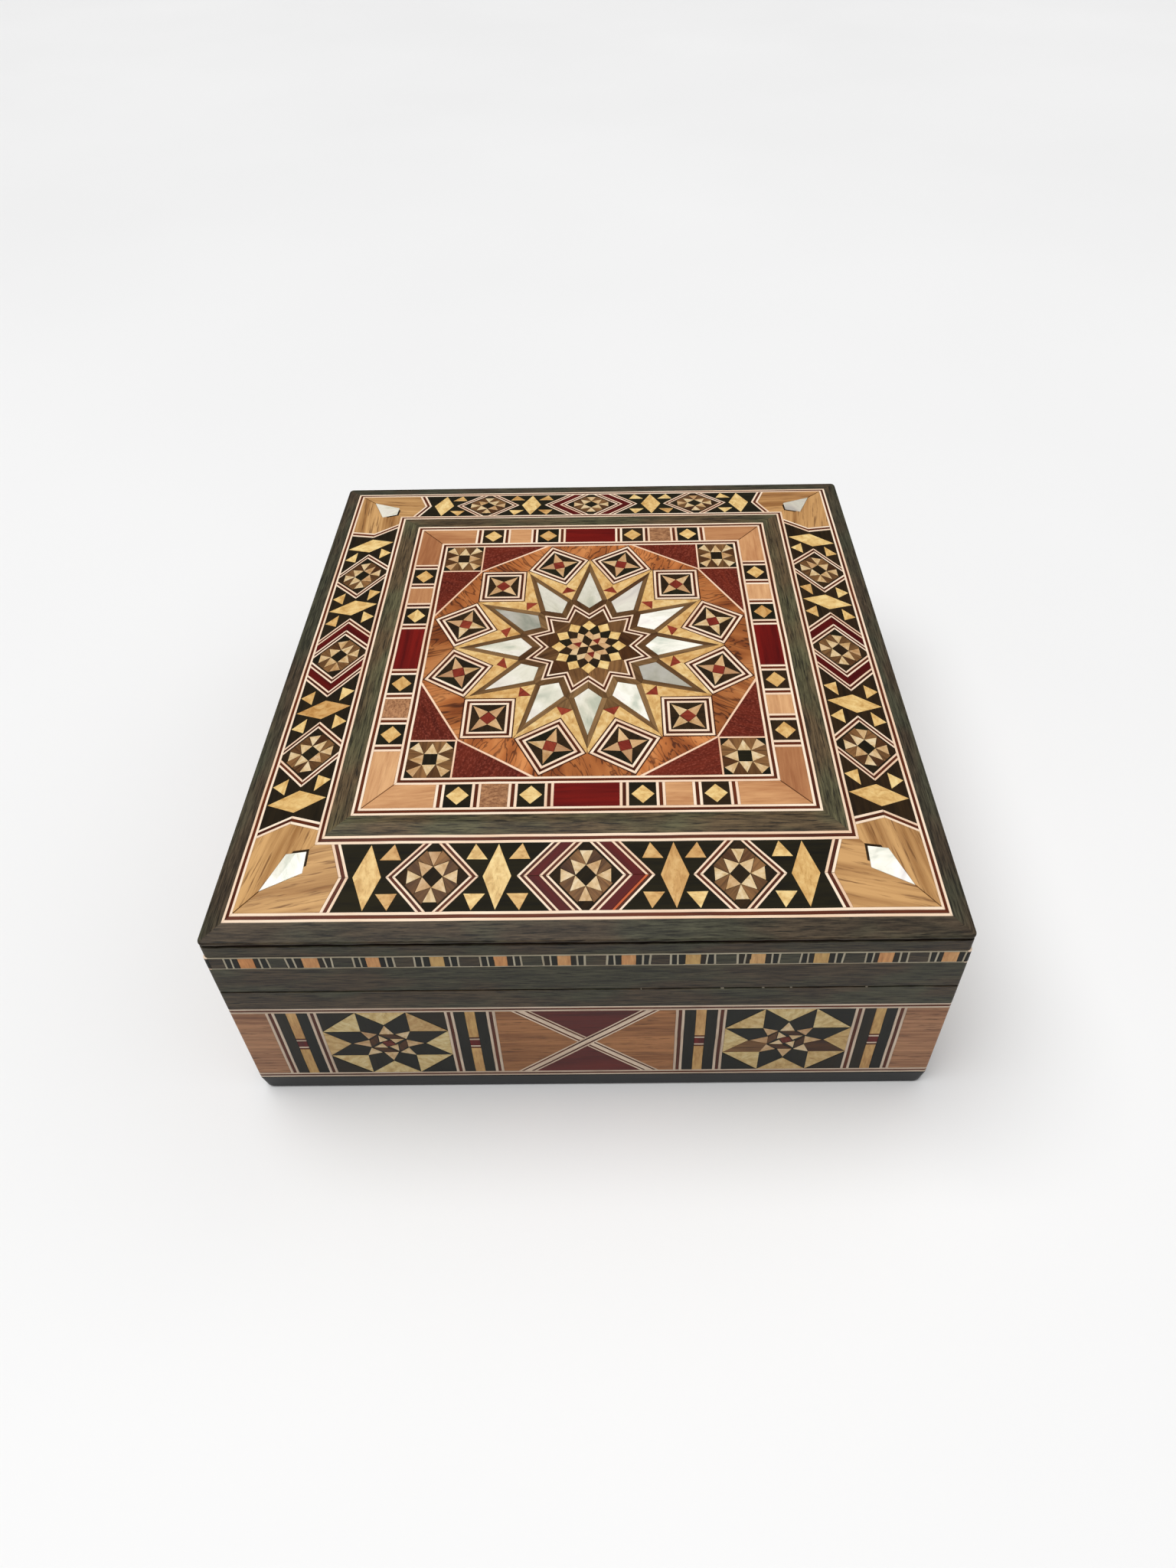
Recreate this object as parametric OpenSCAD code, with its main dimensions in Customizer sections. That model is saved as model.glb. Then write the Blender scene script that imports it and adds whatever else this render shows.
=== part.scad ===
// Inlaid wooden box: a square walnut box with marquetry on its lid and its four sides.
// Frame: millimetres, +Z up, the front faces -Y, the origin is the middle of the underside.
// "Front side" shapes are drawn once, on the -Y side, and turned in quarter turns to the other sides.

/* [Box] */
// Outer width and depth of the box
box_w = 150; // [140:1:160]
// Height of the closed box, to the flat middle of the lid
box_h = 65.2; // [63:0.2:70]
// Height of the base, up to the line where the lid meets it
base_h = 42.3; // [41:0.1:44]
// Thickness of a wall, with its marquetry skin
wall_t = 7.5; // [7.2:0.1:9]
// Thickness of the marquetry skin on the sides
skin_t = 1.5; // [1:0.1:2]
// Thickness of the marquetry veneer on the lid
veneer_t = 1.2; // [0.8:0.1:1.4]
// Gap between the closed lid and the base
lid_gap = 0.15; // [0.1:0.05:0.3]

/* [Lid edge and slope] */
// How far the lid's slope drops for each millimetre outward
slope = 0.2; // [0.1:0.01:0.25]
// Share of the lid's half-width that is flat, inside the slope
flat_share = 0.681; // [0.67:0.001:0.7]
// Radius of the rounded top edge of the walnut moulding
edge_round = 2; // [1:0.1:2.5]
// Width of the walnut edge moulding, seen from above
edge_w = 3.9; // [3.5:0.1:4.5]
// Height of the moulding's lower edge above the base line
edge_low = 13; // [12.5:0.1:13.5]
// Height of the little block strip on the lid's sides
strip_h = 4.2; // [3.5:0.1:4.5]
// Thickness of the lid board at the slope's outer end, below the veneer
board_t = 3; // [2:0.1:3.5]

/* [Lines and borders of the lid] */
// Width of a white, dark and white line
line_w = 1.8; // [1.5:0.1:2]
// Width of the outer border of black, bone and rosettes
border_w = 13.6; // [13:0.1:14]
// Width of the plain walnut frame
frame_w = 4.5; // [4.2:0.1:5]
// Width of the inner border of blocks
inner_w = 6; // [5.5:0.1:6.4]

/* [Outer border] */
// Half-length of a rosette diamond with its frame
rosette_half = 9.4; // [9:0.1:9.6]
// Width of the line that frames a rosette diamond
rosette_line = 1.4; // [1.2:0.1:1.6]
// Centre of the second rosette from the middle of the side
rosette_at = 30.8; // [30.6:0.1:31]
// Length of the wine-red chevron beside the middle rosette
chevron_len = 2.5; // [2:0.1:2.6]
// Half-width of a bone rhombus
rhomb_half = 2.9; // [2.5:0.1:3]
// Centres of the bone rhombuses from the middle of the side
rhomb_at = [17.8, 43.9];
// Tip of the line chevron that ends the border, from the middle of the side
end_tip = 47.6; // [47.2:0.1:48]
// How far that chevron's arms lean outward
end_lean = 2.6; // [2:0.1:3]
// Width of that chevron's line, along the side
end_line = 2; // [1.6:0.1:2.2]
// Inner corner of the corner pearl, its shoulder and its outer tip, along each side
pearl_corner = [57.1, 61.5, 65.1];

/* [Inner border] */
// Half-length of the red block in the middle of each side
red_half = 7; // [6:0.1:7.5]
// Width of one cell between lines
cell_w = 5.8; // [5.5:0.1:6]
// Width of the line between two cells
cell_line = 2; // [1.6:0.1:2.1]

/* [Centre star] */
// Number of points of the star
points = 12; // [12:1:12]
// Radius to the middle of a diamond tile, as a share of the panel's half-width
tile_r = 0.817; // [0.81:0.001:0.82]
// Half-diagonal of a diamond tile, as the same share
tile_half = 0.2085; // [0.2:0.0005:0.209]
// Radius of the zigzag line's outer tips, as the same share
zig_tip = 0.405; // [0.4:0.001:0.41]
// Radius of the zigzag line's outer valleys, as the same share
zig_valley = 0.298; // [0.29:0.001:0.3]
// Size of the zigzag line's inner outline against its outer one
zig_inner = 0.834; // [0.8:0.001:0.86]
// Outer tip of a kite's brown surround, as a share of the panel's half-width
kite_tip = 0.812; // [0.8:0.001:0.815]
// Radius at which two neighbouring surrounds meet, as the same share
kite_shoulder = 0.447; // [0.44:0.001:0.455]
// Outer tip, shoulder and inner tip of a pearl kite, as the same share
pearl_r = [0.714, 0.4365, 0.353];
// Angle of a pearl kite's shoulder from its axis
pearl_angle = 10.85; // [10:0.05:11]
// Place of the red dart along the kite's flank, from the outer tip
dart_at = 0.765; // [0.74:0.005:0.79]
// Tip of the red dart, as a share of the radius to the diamond tile's inner corner
dart_tip = 0.958; // [0.9:0.002:0.98]
// Half-width of the octagon's side on the panel's edge, as a share of the panel's half-width
oct_half = 0.285; // [0.28:0.001:0.3]
// Corner of the octagon on the panel's diagonal, as the same share
oct_corner = 0.731; // [0.729:0.001:0.75]
// Width of the thin white lines in the panel
thin_line = 0.5; // [0.4:0.1:0.8]

/* [Sides of the base] */
// Height of the walnut foot strip
foot_h = 4.8; // [4:0.1:5.5]
// Height of the double line above and below the side band
side_line_h = 1.9; // [1.5:0.1:2]
// Height of the side band
band_h = 26.7; // [26:0.1:27]
// Half-width of the crossed panel in the middle of a side
cross_half = 19.6; // [19:0.1:20]
// Width of the crossing lines
cross_line = 3.2; // [2.5:0.1:3.6]
// Width of an upright line
upright_w = 1.9; // [1.7:0.1:2]
// Width of a black bar
black_w = 2.35; // [2.2:0.05:2.4]
// Width of a yellow bar
yellow_w = 2.15; // [2:0.05:2.2]
// Height of the red stud in the middle of a yellow bar
stud_h = 3.6; // [3:0.1:4]

/* [Lining] */
// Thickness of the velvet on the walls
velvet_t = 0.8; // [0.5:0.1:1]
// Thickness of the padded velvet floor
floor_pad_t = 2.4; // [1.5:0.1:3]
// Thickness of the bottom board
bottom_t = 4; // [3:0.1:5]
// Height of the felt's lower face above the surface that the box stands on
felt_rise = 0.2; // [0.1:0.1:0.5]
// Thickness of the felt under the bottom board
felt_t = 0.6; // [0.4:0.1:0.8]

/* [Hinges] */
// Distance of each hinge from the middle of the back
hinge_x = 42; // [35:1:50]
// Length of a hinge
hinge_len = 18; // [16:1:20]
// Width of a leaf, from the pin's axis
leaf_w = 4.9; // [4.8:0.1:5]
// Thickness of a leaf
leaf_t = 1.2; // [1:0.1:1.2]
// Radius of the knuckles
knuckle_r = 1.5; // [1.4:0.05:1.55]
// Radius of the pin
pin_r = 0.75; // [0.7:0.05:0.8]
// Radial clearance of the pin in the lid's knuckle
pin_clear = 0.05; // [0.02:0.01:0.08]
// Distance of the pin's axis in front of the back face
pin_inset = 2.2; // [2.1:0.1:2.4]
// Angle at which the lid stands on its stop
open_angle = 98; // [90:1:100]
// Distance between the two screws of a leaf
screw_gap = 11; // [10:0.5:12]
// Distance of the screws from the pin's axis
screw_in = 3.2; // [3.1:0.1:3.3]
// Radius of a screw's shank
screw_r = 0.7; // [0.5:0.05:0.8]
// Radius of a screw's head
head_r = 1.3; // [1.1:0.05:1.35]
// Length of a screw
screw_len = 6; // [4:0.5:6]

/* [Hidden] */
$fn = 48;
half = box_w / 2;
inside = half - wall_t;
core = half - skin_t;
flat_half = flat_share * half;
scale_k = box_w / 150;

// Half-sizes of the lid's nested squares, from the edge inward
f1 = half - edge_w;
f2 = f1 - line_w;
f3 = f2 - border_w;
f4 = f3 - line_w;
f5 = f4 - frame_w;
f6 = f5 - line_w;
f7 = f6 - inner_w;
panel = f7 - line_w;
border_mid = (f2 + f3) / 2;

// Heights of the lid's parts
lid_low = base_h + lid_gap;
edge_z = base_h + edge_low;
strip_z = edge_z - strip_h;
outer_z = box_h - slope * (half - flat_half);
board_z = box_h - slope * (f1 - flat_half) - veneer_t - board_t;

// Heights of the base's parts
band_z = foot_h + side_line_h;
band_top = band_z + band_h;
rim_z = band_top + side_line_h;
band_mid = band_z + band_h / 2;
bottom_z = felt_rise + felt_t;
floor_z = bottom_z + bottom_t;
lining_z = floor_z + floor_pad_t;
rim_reveal = 0.6;

// Edges of the side band's pieces, from the middle of a side
bars_w = 2 * upright_w + 2 * black_w + yellow_w;
star_x = cross_half + bars_w;
end_x = star_x + band_h + bars_w;

// Hinge pin and the room around it
pin_y = half - pin_inset;
pin_z = base_h;
groove_r = knuckle_r + 0.25;
knuckle_len = hinge_len / 3;
knuckle_gap = 0.05;
stop_spare = 2;
chamfer_angle = (open_angle + stop_spare) / 2;
mortise_play = 0.05;
head_h = 0.7;
slot_w = 0.35;
slot_depth = 0.3;

// Angles and corner points of the centre star
step = 360 / points;
surround_gap = 0.4;
tile_c = tile_r * panel;
tile_d = tile_half * panel;
tile_in = polar(tile_c - tile_d, step / 2);
tile_side = polar(tile_c, step / 2) + tile_d * [sin(step / 2), -cos(step / 2)];
kite_out = [kite_tip * panel, 0];
kite_side = polar(kite_shoulder * panel, step / 2);
kite_in = [zig_valley * panel, 0];
surround_side = polar(kite_shoulder * panel, step / 2 - surround_gap);
surround_heel = polar(zig_tip * panel, step / 2 - surround_gap);
dart_base = kite_out + dart_at * (kite_side - kite_out);
dart_apex = polar((tile_c - tile_d) * dart_tip, step / 2);

function polar(r, a) = r * [cos(a), sin(a)];
function flip(p) = [p[0], -p[1]];
function turn(p, a) = [p[0] * cos(a) - p[1] * sin(a), p[0] * sin(a) + p[1] * cos(a)];
// Mirror image of a point in the line through the origin at angle a
function over(p, a) = [
    p[0] * cos(2 * a) + p[1] * sin(2 * a),
    p[0] * sin(2 * a) - p[1] * cos(2 * a)
];
// Outline of a star with n tips of radius a at odd half steps and valleys of radius b between
function star(n, a, b) = [for (i = [0 : 2 * n - 1]) polar(i % 2 == 0 ? b : a, i * 180 / n)];

// ---- Helpers -------------------------------------------------------------------------

// Children of the front side, turned to the sides in the list: 0 front, 1 right, 2 back, 3 left
module sides(list = [0, 1, 2, 3])
    for (k = list)
        rotate(90 * k)
            children();

// A section in (Y, Z) run along the front side and mitred at both ends
module mitred_run()
    intersection() {
        linear_extrude(box_h + 10)
            polygon([[0, 0], [-box_w, -box_w], [box_w, -box_w]]);
        rotate([90, 0, 90])
            linear_extrude(box_w + 10, center = true)
                children();
    }

// A plain rectangular section from distance d0 to d1 from the middle, between heights z0 and z1
module section(d0, d1, z0, z1)
    translate([-d1, z0])
        square([d1 - d0, z1 - z0]);

// A flat outline in (X, Z) as a skin piece on the front face
module on_face()
    translate([0, -core, 0])
        rotate([90, 0, 0])
            linear_extrude(skin_t)
                children();

// The lid's outer form with its sloped border, with the flat part at height top
module lid_form(top) {
    low = top - slope * (half - flat_half);
    profile = [[-half, 0], [half, 0], [half, low], [flat_half, top], [-flat_half, top], [-half, low]];
    intersection() {
        rotate([90, 0, 0])
            linear_extrude(box_w, center = true)
                polygon(profile);
        rotate([90, 0, 90])
            linear_extrude(box_w, center = true)
                polygon(profile);
    }
}

// Flat outlines cut from the sloped veneer of the lid
module cut_from_veneer()
    intersection() {
        difference() {
            lid_form(box_h);
            lid_form(box_h - veneer_t);
        }
        linear_extrude(box_h + 10)
            children();
    }

// Flat outlines of the level middle of the lid
module level_veneer()
    translate([0, 0, box_h - veneer_t])
        linear_extrude(veneer_t)
            children();

// Plan of one mitred rail of a square frame, on the front side, between two half-sizes
module rail_plan(outer, inner)
    polygon([[-outer, -outer], [outer, -outer], [inner, -inner], [-inner, -inner]]);

module rails(outer, inner)
    for (k = [0 : 3])
        rotate(90 * k)
            rail_plan(outer, inner);

module diamond(a, b = 0)
    polygon([[a, 0], [0, b == 0 ? a : b], [-a, 0], [0, b == 0 ? -a : -b]]);

module around(n = points)
    for (i = [0 : n - 1])
        rotate(i * 360 / n)
            children();

module both_ways() {
    children();
    mirror([1, 0])
        children();
}

// ---- Base: carcass -------------------------------------------------------------------

module bottom_board()
    color("tan")
        translate([-inside, -inside, bottom_z])
            cube([2 * inside, 2 * inside, bottom_t]);

module base_wall(list)
    color("burlywood")
        sides(list)
            mitred_run()
                section(inside, core, 0, rim_z);

module base_rim(list)
    sides(list)
        mitred_run()
            section(inside, half, rim_z, base_h);

module base_back_rim()
    color("#4b483c")
        difference() {
            base_rim([2]);
            back_chamfer(-1);
            hinge_room(-1);
        }

module base_side_rims()
    color("#4b483c")
        difference() {
            base_rim([1, 3]);
            back_chamfer(-1);
        }

module base_foot_strips()
    color("#4b483c")
        sides()
            mitred_run()
                section(core, half, 0, foot_h);

module base_line_strips()
    color("wheat")
        sides() {
            mitred_run()
                section(core, half, foot_h, band_z);
            mitred_run()
                section(core, half, band_top, rim_z);
        }

// ---- Base: marquetry bands -----------------------------------------------------------

// An upright bar of the side band, from x to x + w, between heights z0 and z1
module bar(x, w, z0 = band_z, z1 = band_top)
    both_ways()
        translate([x, z0])
            square([w, z1 - z0]);

// Left edges of the two groups of bars on the right half of a side
bar_groups = [cross_half, star_x + band_h];

module band_end_blocks()
    color("#96694f")
        sides()
            intersection() {
                mitred_run()
                    section(core, half, band_z, band_top);
                both_ways()
                    translate([end_x, -half, band_z])
                        cube([half - end_x, wall_t, band_h]);
            }

module band_upright_lines()
    color("wheat")
        sides()
            on_face()
                for (x = bar_groups) {
                    bar(x, upright_w);
                    bar(x + bars_w - upright_w, upright_w);
                }

module band_black_bars()
    color("#23251f")
        sides()
            on_face()
                for (x = bar_groups) {
                    bar(x + upright_w, black_w);
                    bar(x + upright_w + black_w + yellow_w, black_w);
                }

module band_yellow_bars()
    color("#d9b266")
        sides()
            on_face()
                for (x = bar_groups) {
                    bar(x + upright_w + black_w, yellow_w, band_z, band_mid - stud_h / 2);
                    bar(x + upright_w + black_w, yellow_w, band_mid + stud_h / 2, band_top);
                }

module band_red_studs()
    color("#8c2a20")
        sides()
            on_face()
                for (x = bar_groups)
                    bar(x + upright_w + black_w, yellow_w, band_mid - stud_h / 2, band_mid + stud_h / 2);

module band_star_tiles()
    color("#2b2c26")
        sides()
            on_face()
                bar(star_x, band_h);

module cross_outline() {
    run = cross_half * 1.6;
    intersection() {
        bar(0, cross_half);
        translate([0, band_mid])
            for (a = [-1, 1])
                rotate(a * 43)
                    square([2 * run, cross_line], center = true);
    }
}

module band_cross_lines()
    color("wheat")
        sides()
            on_face()
                cross_outline();

module band_cross_triangles()
    color("#73291f")
        sides()
            on_face()
                difference() {
                    bar(0, cross_half);
                    cross_outline();
                }

// ---- Base: lining --------------------------------------------------------------------

module base_velvet_floor()
    color("#7a1220")
        translate([-inside, -inside, floor_z])
            cube([2 * inside, 2 * inside, floor_pad_t]);

module base_velvet_walls()
    color("#7a1220")
        sides()
            mitred_run()
                section(inside - velvet_t, inside, lining_z, base_h - rim_reveal);

module underside_felt()
    color("#1f3a2a")
        translate([-inside, -inside, felt_rise])
            cube([2 * inside, 2 * inside, felt_t]);

// ---- Hinges --------------------------------------------------------------------------

// A cylinder along X on the pin's axis, centred at x
module on_axis(r, len, x = 0)
    translate([x, pin_y, pin_z])
        rotate([0, 90, 0])
            cylinder(r = r, h = len, center = true);

// The sloped cut behind the pin's axis: way is 1 for the lid and -1 for the base
module back_chamfer(way)
    translate([0, pin_y, pin_z])
        mirror([0, 0, way > 0 ? 0 : 1])
            rotate([90, 0, 90])
                linear_extrude(box_w + 10, center = true)
                    polygon([[0, 0], [10, 0], [10, 10 * tan(chamfer_angle)]]);

module screw_shape(way, x)
    translate([x, pin_y - screw_in, pin_z + way * (knuckle_r - leaf_t)])
        mirror([0, 0, way > 0 ? 0 : 1]) {
            cylinder(r1 = head_r, r2 = screw_r, h = head_h);
            cylinder(r = screw_r, h = screw_len);
        }

module leaf_screws(way)
    for (h = [-1, 1])
        for (s = [-1, 1])
            difference() {
                screw_shape(way, h * hinge_x + s * screw_gap / 2);
                translate([
                    h * hinge_x + s * screw_gap / 2,
                    pin_y - screw_in,
                    pin_z + way * (knuckle_r - leaf_t)
                ])
                    cube([slot_w, 4 * head_r, 2 * slot_depth], center = true);
            }

// Room for both hinges in a back rim: the knuckle groove, the leaf's mortise and the screw holes
module hinge_room(way)
    for (h = [-1, 1]) {
        on_axis(groove_r, hinge_len + 4 * mortise_play, h * hinge_x);
        translate([
            h * hinge_x - hinge_len / 2 - mortise_play,
            pin_y - leaf_w - mortise_play,
            way > 0 ? pin_z : pin_z - knuckle_r
        ])
            cube([hinge_len + 2 * mortise_play, leaf_w + mortise_play, knuckle_r]);
        for (s = [-1, 1])
            screw_shape(way, h * hinge_x + s * screw_gap / 2);
    }

// One leaf: the base's has the two outer knuckles, the lid's has the middle one
module leaf(way, side) {
    mine = way < 0 ? [-1, 1] : [0];
    other = way < 0 ? [0] : [-1, 1];
    bore = way < 0 ? pin_r : pin_r + pin_clear;
    x0 = side * hinge_x;
    difference() {
        union() {
            translate([
                x0 - hinge_len / 2,
                pin_y - leaf_w,
                way > 0 ? pin_z + knuckle_r - leaf_t : pin_z - knuckle_r
            ])
                cube([hinge_len, leaf_w, leaf_t]);
            for (k = mine)
                on_axis(knuckle_r, knuckle_len - 2 * knuckle_gap, x0 + k * knuckle_len);
        }
        for (k = other)
            on_axis(groove_r, knuckle_len + 0.001, x0 + k * knuckle_len);
        on_axis(bore, hinge_len + 1, x0);
        for (s = [-1, 1])
            screw_shape(way, x0 + s * screw_gap / 2);
    }
}

module hinge_leaf(way, side)
    color("goldenrod")
        leaf(way, side);

module hinge_pins()
    color("darkgoldenrod")
        for (h = [-1, 1])
            on_axis(pin_r, hinge_len, h * hinge_x);

// ---- Lid: carcass --------------------------------------------------------------------

module lid_rim(list)
    sides(list)
        mitred_run()
            section(inside, half, lid_low, strip_z);

module lid_back_rim()
    color("#4b483c")
        difference() {
            lid_rim([2]);
            back_chamfer(1);
            hinge_room(1);
        }

module lid_side_rims()
    color("#4b483c")
        difference() {
            lid_rim([1, 3]);
            back_chamfer(1);
        }

module lid_upper_walls()
    color("burlywood")
        sides()
            mitred_run() {
                section(inside, core, strip_z, edge_z);
                section(inside, f1, strip_z, board_z);
            }

module lid_board()
    color("tan")
        intersection() {
            lid_form(box_h - veneer_t);
            translate([-f1, -f1, board_z])
                cube([2 * f1, 2 * f1, box_h]);
        }

// The moulding's section: its top follows the slope and its outer edge is rounded
module moulding_section() {
    lean = atan(slope);
    drop = edge_round * tan((90 - lean) / 2);
    difference() {
        polygon([
            [-half, edge_z],
            [-f1, edge_z],
            [-f1, box_h - slope * (f1 - flat_half)],
            [-half, outer_z]
        ]);
        difference() {
            polygon([
                [-half - 1, outer_z + 1],
                [-half - 1, outer_z - drop],
                [-half, outer_z - drop],
                [-half + edge_round, outer_z - drop],
                [-half + edge_round * (1 - sin(lean)), outer_z - drop + edge_round * cos(lean)],
                [-half + edge_round * (1 - sin(lean)), outer_z + 1]
            ]);
            translate([-half + edge_round, outer_z - drop])
                circle(edge_round);
        }
    }
}

module lid_edge_mouldings()
    color("#4b483c")
        sides()
            mitred_run()
                moulding_section();

module lid_side_strips()
    color("#6b6152")
        sides()
            mitred_run()
                section(core, half, strip_z, edge_z);

module lid_velvet_lining()
    color("#7a1220") {
        sides()
            mitred_run()
                section(inside - velvet_t, inside, lid_low + rim_reveal, board_z);
        translate([0, 0, board_z - velvet_t])
            linear_extrude(velvet_t)
                square(2 * (inside - velvet_t), center = true);
    }

// ---- Lid: lines and frame ------------------------------------------------------------

module lid_border_lines()
    color("wheat")
        cut_from_veneer() {
            rails(f1, f2);
            rails(f3, f4);
        }

module lid_panel_lines()
    color("wheat")
        level_veneer() {
            rails(f5, f6);
            rails(f7, panel);
        }

module walnut_frame()
    color("#4b483c")
        cut_from_veneer()
            rails(f4, f5);

// ---- Lid: outer border ---------------------------------------------------------------

// Room of the border on the front side, up to the chevrons that end it
module border_room(len = end_tip)
    translate([0, -border_mid])
        polygon([
            [-len, 0], [-len - end_lean, border_w / 2], [len + end_lean, border_w / 2],
            [len, 0], [len + end_lean, -border_w / 2], [-len - end_lean, -border_w / 2]
        ]);

// Outlines placed along the middle of the front border
module along_border(list)
    intersection() {
        border_room();
        for (x = list)
            translate([x, -border_mid])
                children();
    }

rosettes = [-rosette_at, 0, rosette_at];
tile_corner = rosette_half - rosette_line * sqrt(2);

module border_rosette_tiles()
    color("#7a5a3a")
        cut_from_veneer()
            sides()
                along_border(rosettes)
                    diamond(tile_corner);

// Frames of the rosettes, the lines outside the red chevrons and the chevrons that end the border
module frame_outlines() {
    along_border(rosettes)
        difference() {
            diamond(rosette_half);
            diamond(tile_corner);
        }
    along_border([0])
        difference() {
            diamond(rosette_half + chevron_len + rosette_line * sqrt(2));
            diamond(rosette_half + chevron_len);
        }
    difference() {
        border_room(end_tip + end_line);
        border_room();
    }
}

module border_tile_frames()
    color("wheat")
        cut_from_veneer()
            sides()
                frame_outlines();

module rhombs_plan()
    along_border([for (x = rhomb_at) for (s = [-1, 1]) s * x])
        diamond(rhomb_half, border_w / 2 - 0.1);

module border_rhombs()
    color("#e6c678")
        cut_from_veneer()
            sides()
                rhombs_plan();

module chevrons_plan()
    along_border([0])
        difference() {
            diamond(rosette_half + chevron_len);
            diamond(rosette_half);
        }

module border_red_chevrons()
    color("#6a1d1a")
        cut_from_veneer()
            sides()
                chevrons_plan();

module border_black_ground()
    color("#23251f")
        cut_from_veneer()
            sides()
                difference() {
                    border_room();
                    along_border(rosettes)
                        diamond(rosette_half);
                    along_border([0])
                        diamond(rosette_half + chevron_len + rosette_line * sqrt(2));
                    rhombs_plan();
                }

module pearl_plan()
    scale(scale_k)
        polygon([
            [pearl_corner[0], -pearl_corner[0]], [pearl_corner[1], -pearl_corner[0]],
            [pearl_corner[2], -pearl_corner[2]], [pearl_corner[0], -pearl_corner[1]]
        ]);

module corner_blocks()
    color("#c99660")
        cut_from_veneer()
            sides()
                difference() {
                    rail_plan(f2, f3);
                    border_room(end_tip + end_line);
                    pearl_plan();
                    mirror([1, 0])
                        pearl_plan();
                }

module corner_pearls()
    color("#e8ece2")
        cut_from_veneer()
            sides()
                pearl_plan();

// ---- Lid: inner border ---------------------------------------------------------------

inner_mid = (f6 + f7) / 2;
cell_step = cell_w + cell_line;

// Rectangles on both halves of the front side of the inner border, from x to x + w
module inner_cell(x, w)
    both_ways()
        translate([x, -f6])
            square([w, inner_w]);

module inner_red_blocks()
    color("#8a1016")
        level_veneer()
            sides()
                translate([-red_half, -f6])
                    square([2 * red_half, inner_w]);

module inner_wood_blocks()
    color("#c99660")
        level_veneer()
            sides() {
                inner_cell(red_half + cell_line + cell_step, cell_w);
                difference() {
                    rail_plan(f6, f7);
                    translate([-red_half - 3 * cell_step - cell_line, -f6 - 1])
                        square([2 * (red_half + 3 * cell_step + cell_line), inner_w + 2]);
                }
            }

module inner_diamond_tiles()
    color("#2b2c26")
        level_veneer()
            sides()
                for (i = [0, 2])
                    inner_cell(red_half + cell_line + i * cell_step, cell_w);

module inner_border_lines()
    color("wheat")
        level_veneer()
            sides()
                for (i = [0 : 3])
                    inner_cell(red_half + i * cell_step, cell_line);

// ---- Lid: centre panel ---------------------------------------------------------------

module octagon()
    polygon([
        for (k = [0 : 3])
            for (p = [[1, -oct_half], [1, oct_half], [oct_corner, oct_corner]])
                turn(p * panel, 90 * k)
    ]);

module tiles_plan()
    around()
        rotate(step / 2)
            translate([tile_c, 0])
                diamond(tile_d);

// Everything inside the ring of diamond tiles
module inner_plan()
    polygon([
        for (i = [0 : points - 1])
            for (p = [kite_out, tile_side, over(tile_side, step / 2)])
                turn(p, i * step)
    ]);

module olivewood_field()
    color("#be6e32")
        level_veneer()
            difference() {
                octagon();
                tiles_plan();
                inner_plan();
            }

// A wine-red triangle between the octagon, the panel's edge and a corner rosette
square_in = oct_corner * panel + 1.4 * thin_line;
wine_x = oct_half * panel + 2.4 * thin_line;

module wine_plan()
    sides()
        both_ways()
            polygon([
                [wine_x, -panel],
                [square_in - thin_line, -panel],
                [square_in - thin_line, -oct_corner * panel - thin_line]
            ]);

module rosette_plan()
    sides()
        translate([square_in, -panel])
            square(panel - square_in);

module panel_wine_triangles()
    color("#73291f")
        level_veneer()
            wine_plan();

module panel_corner_rosettes()
    color("#7a5a3a")
        level_veneer()
            rosette_plan();

module panel_thin_lines()
    color("wheat")
        level_veneer()
            difference() {
                square(2 * panel, center = true);
                octagon();
                wine_plan();
                rosette_plan();
            }

module panel_diamond_tiles()
    color("#2b2c26")
        level_veneer()
            tiles_plan();

module pearl_kite_plan() {
    shoulder = polar(pearl_r[1] * panel, pearl_angle);
    polygon([[pearl_r[0] * panel, 0], shoulder, [pearl_r[2] * panel, 0], flip(shoulder)]);
}

module pearl_kites()
    color("#e8ece2")
        level_veneer()
            around()
                pearl_kite_plan();

module kite_surrounds()
    color("#5b4330")
        level_veneer()
            around()
                difference() {
                    polygon([
                        kite_out, surround_side, surround_heel, kite_in,
                        flip(surround_heel), flip(surround_side)
                    ]);
                    pearl_kite_plan();
                }

// The long bone wedge beside a kite's tip
wedge = [dart_base, kite_out, tile_side, tile_in, dart_apex];

module bone_wedges()
    color("#e6c678")
        level_veneer()
            around() {
                polygon(wedge);
                polygon([for (p = wedge) over(p, step / 2)]);
                polygon([kite_side, dart_base, over(dart_base, step / 2)]);
            }

module red_darts()
    color("#8c2a20")
        level_veneer()
            around()
                polygon([dart_base, dart_apex, over(dart_base, step / 2)]);

module zigzag_line()
    color("wheat")
        level_veneer()
            difference() {
                polygon(star(points, zig_tip * panel, zig_valley * panel));
                polygon(star(points, zig_inner * zig_tip * panel, zig_inner * zig_valley * panel));
            }

// The rosette inside the zigzag line, one slice of a glued bundle of rods
module core_rosette()
    color("#4a3228")
        level_veneer()
            polygon(star(points, zig_inner * zig_tip * panel, zig_inner * zig_valley * panel));

// ---- Nodes ---------------------------------------------------------------------------

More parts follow.
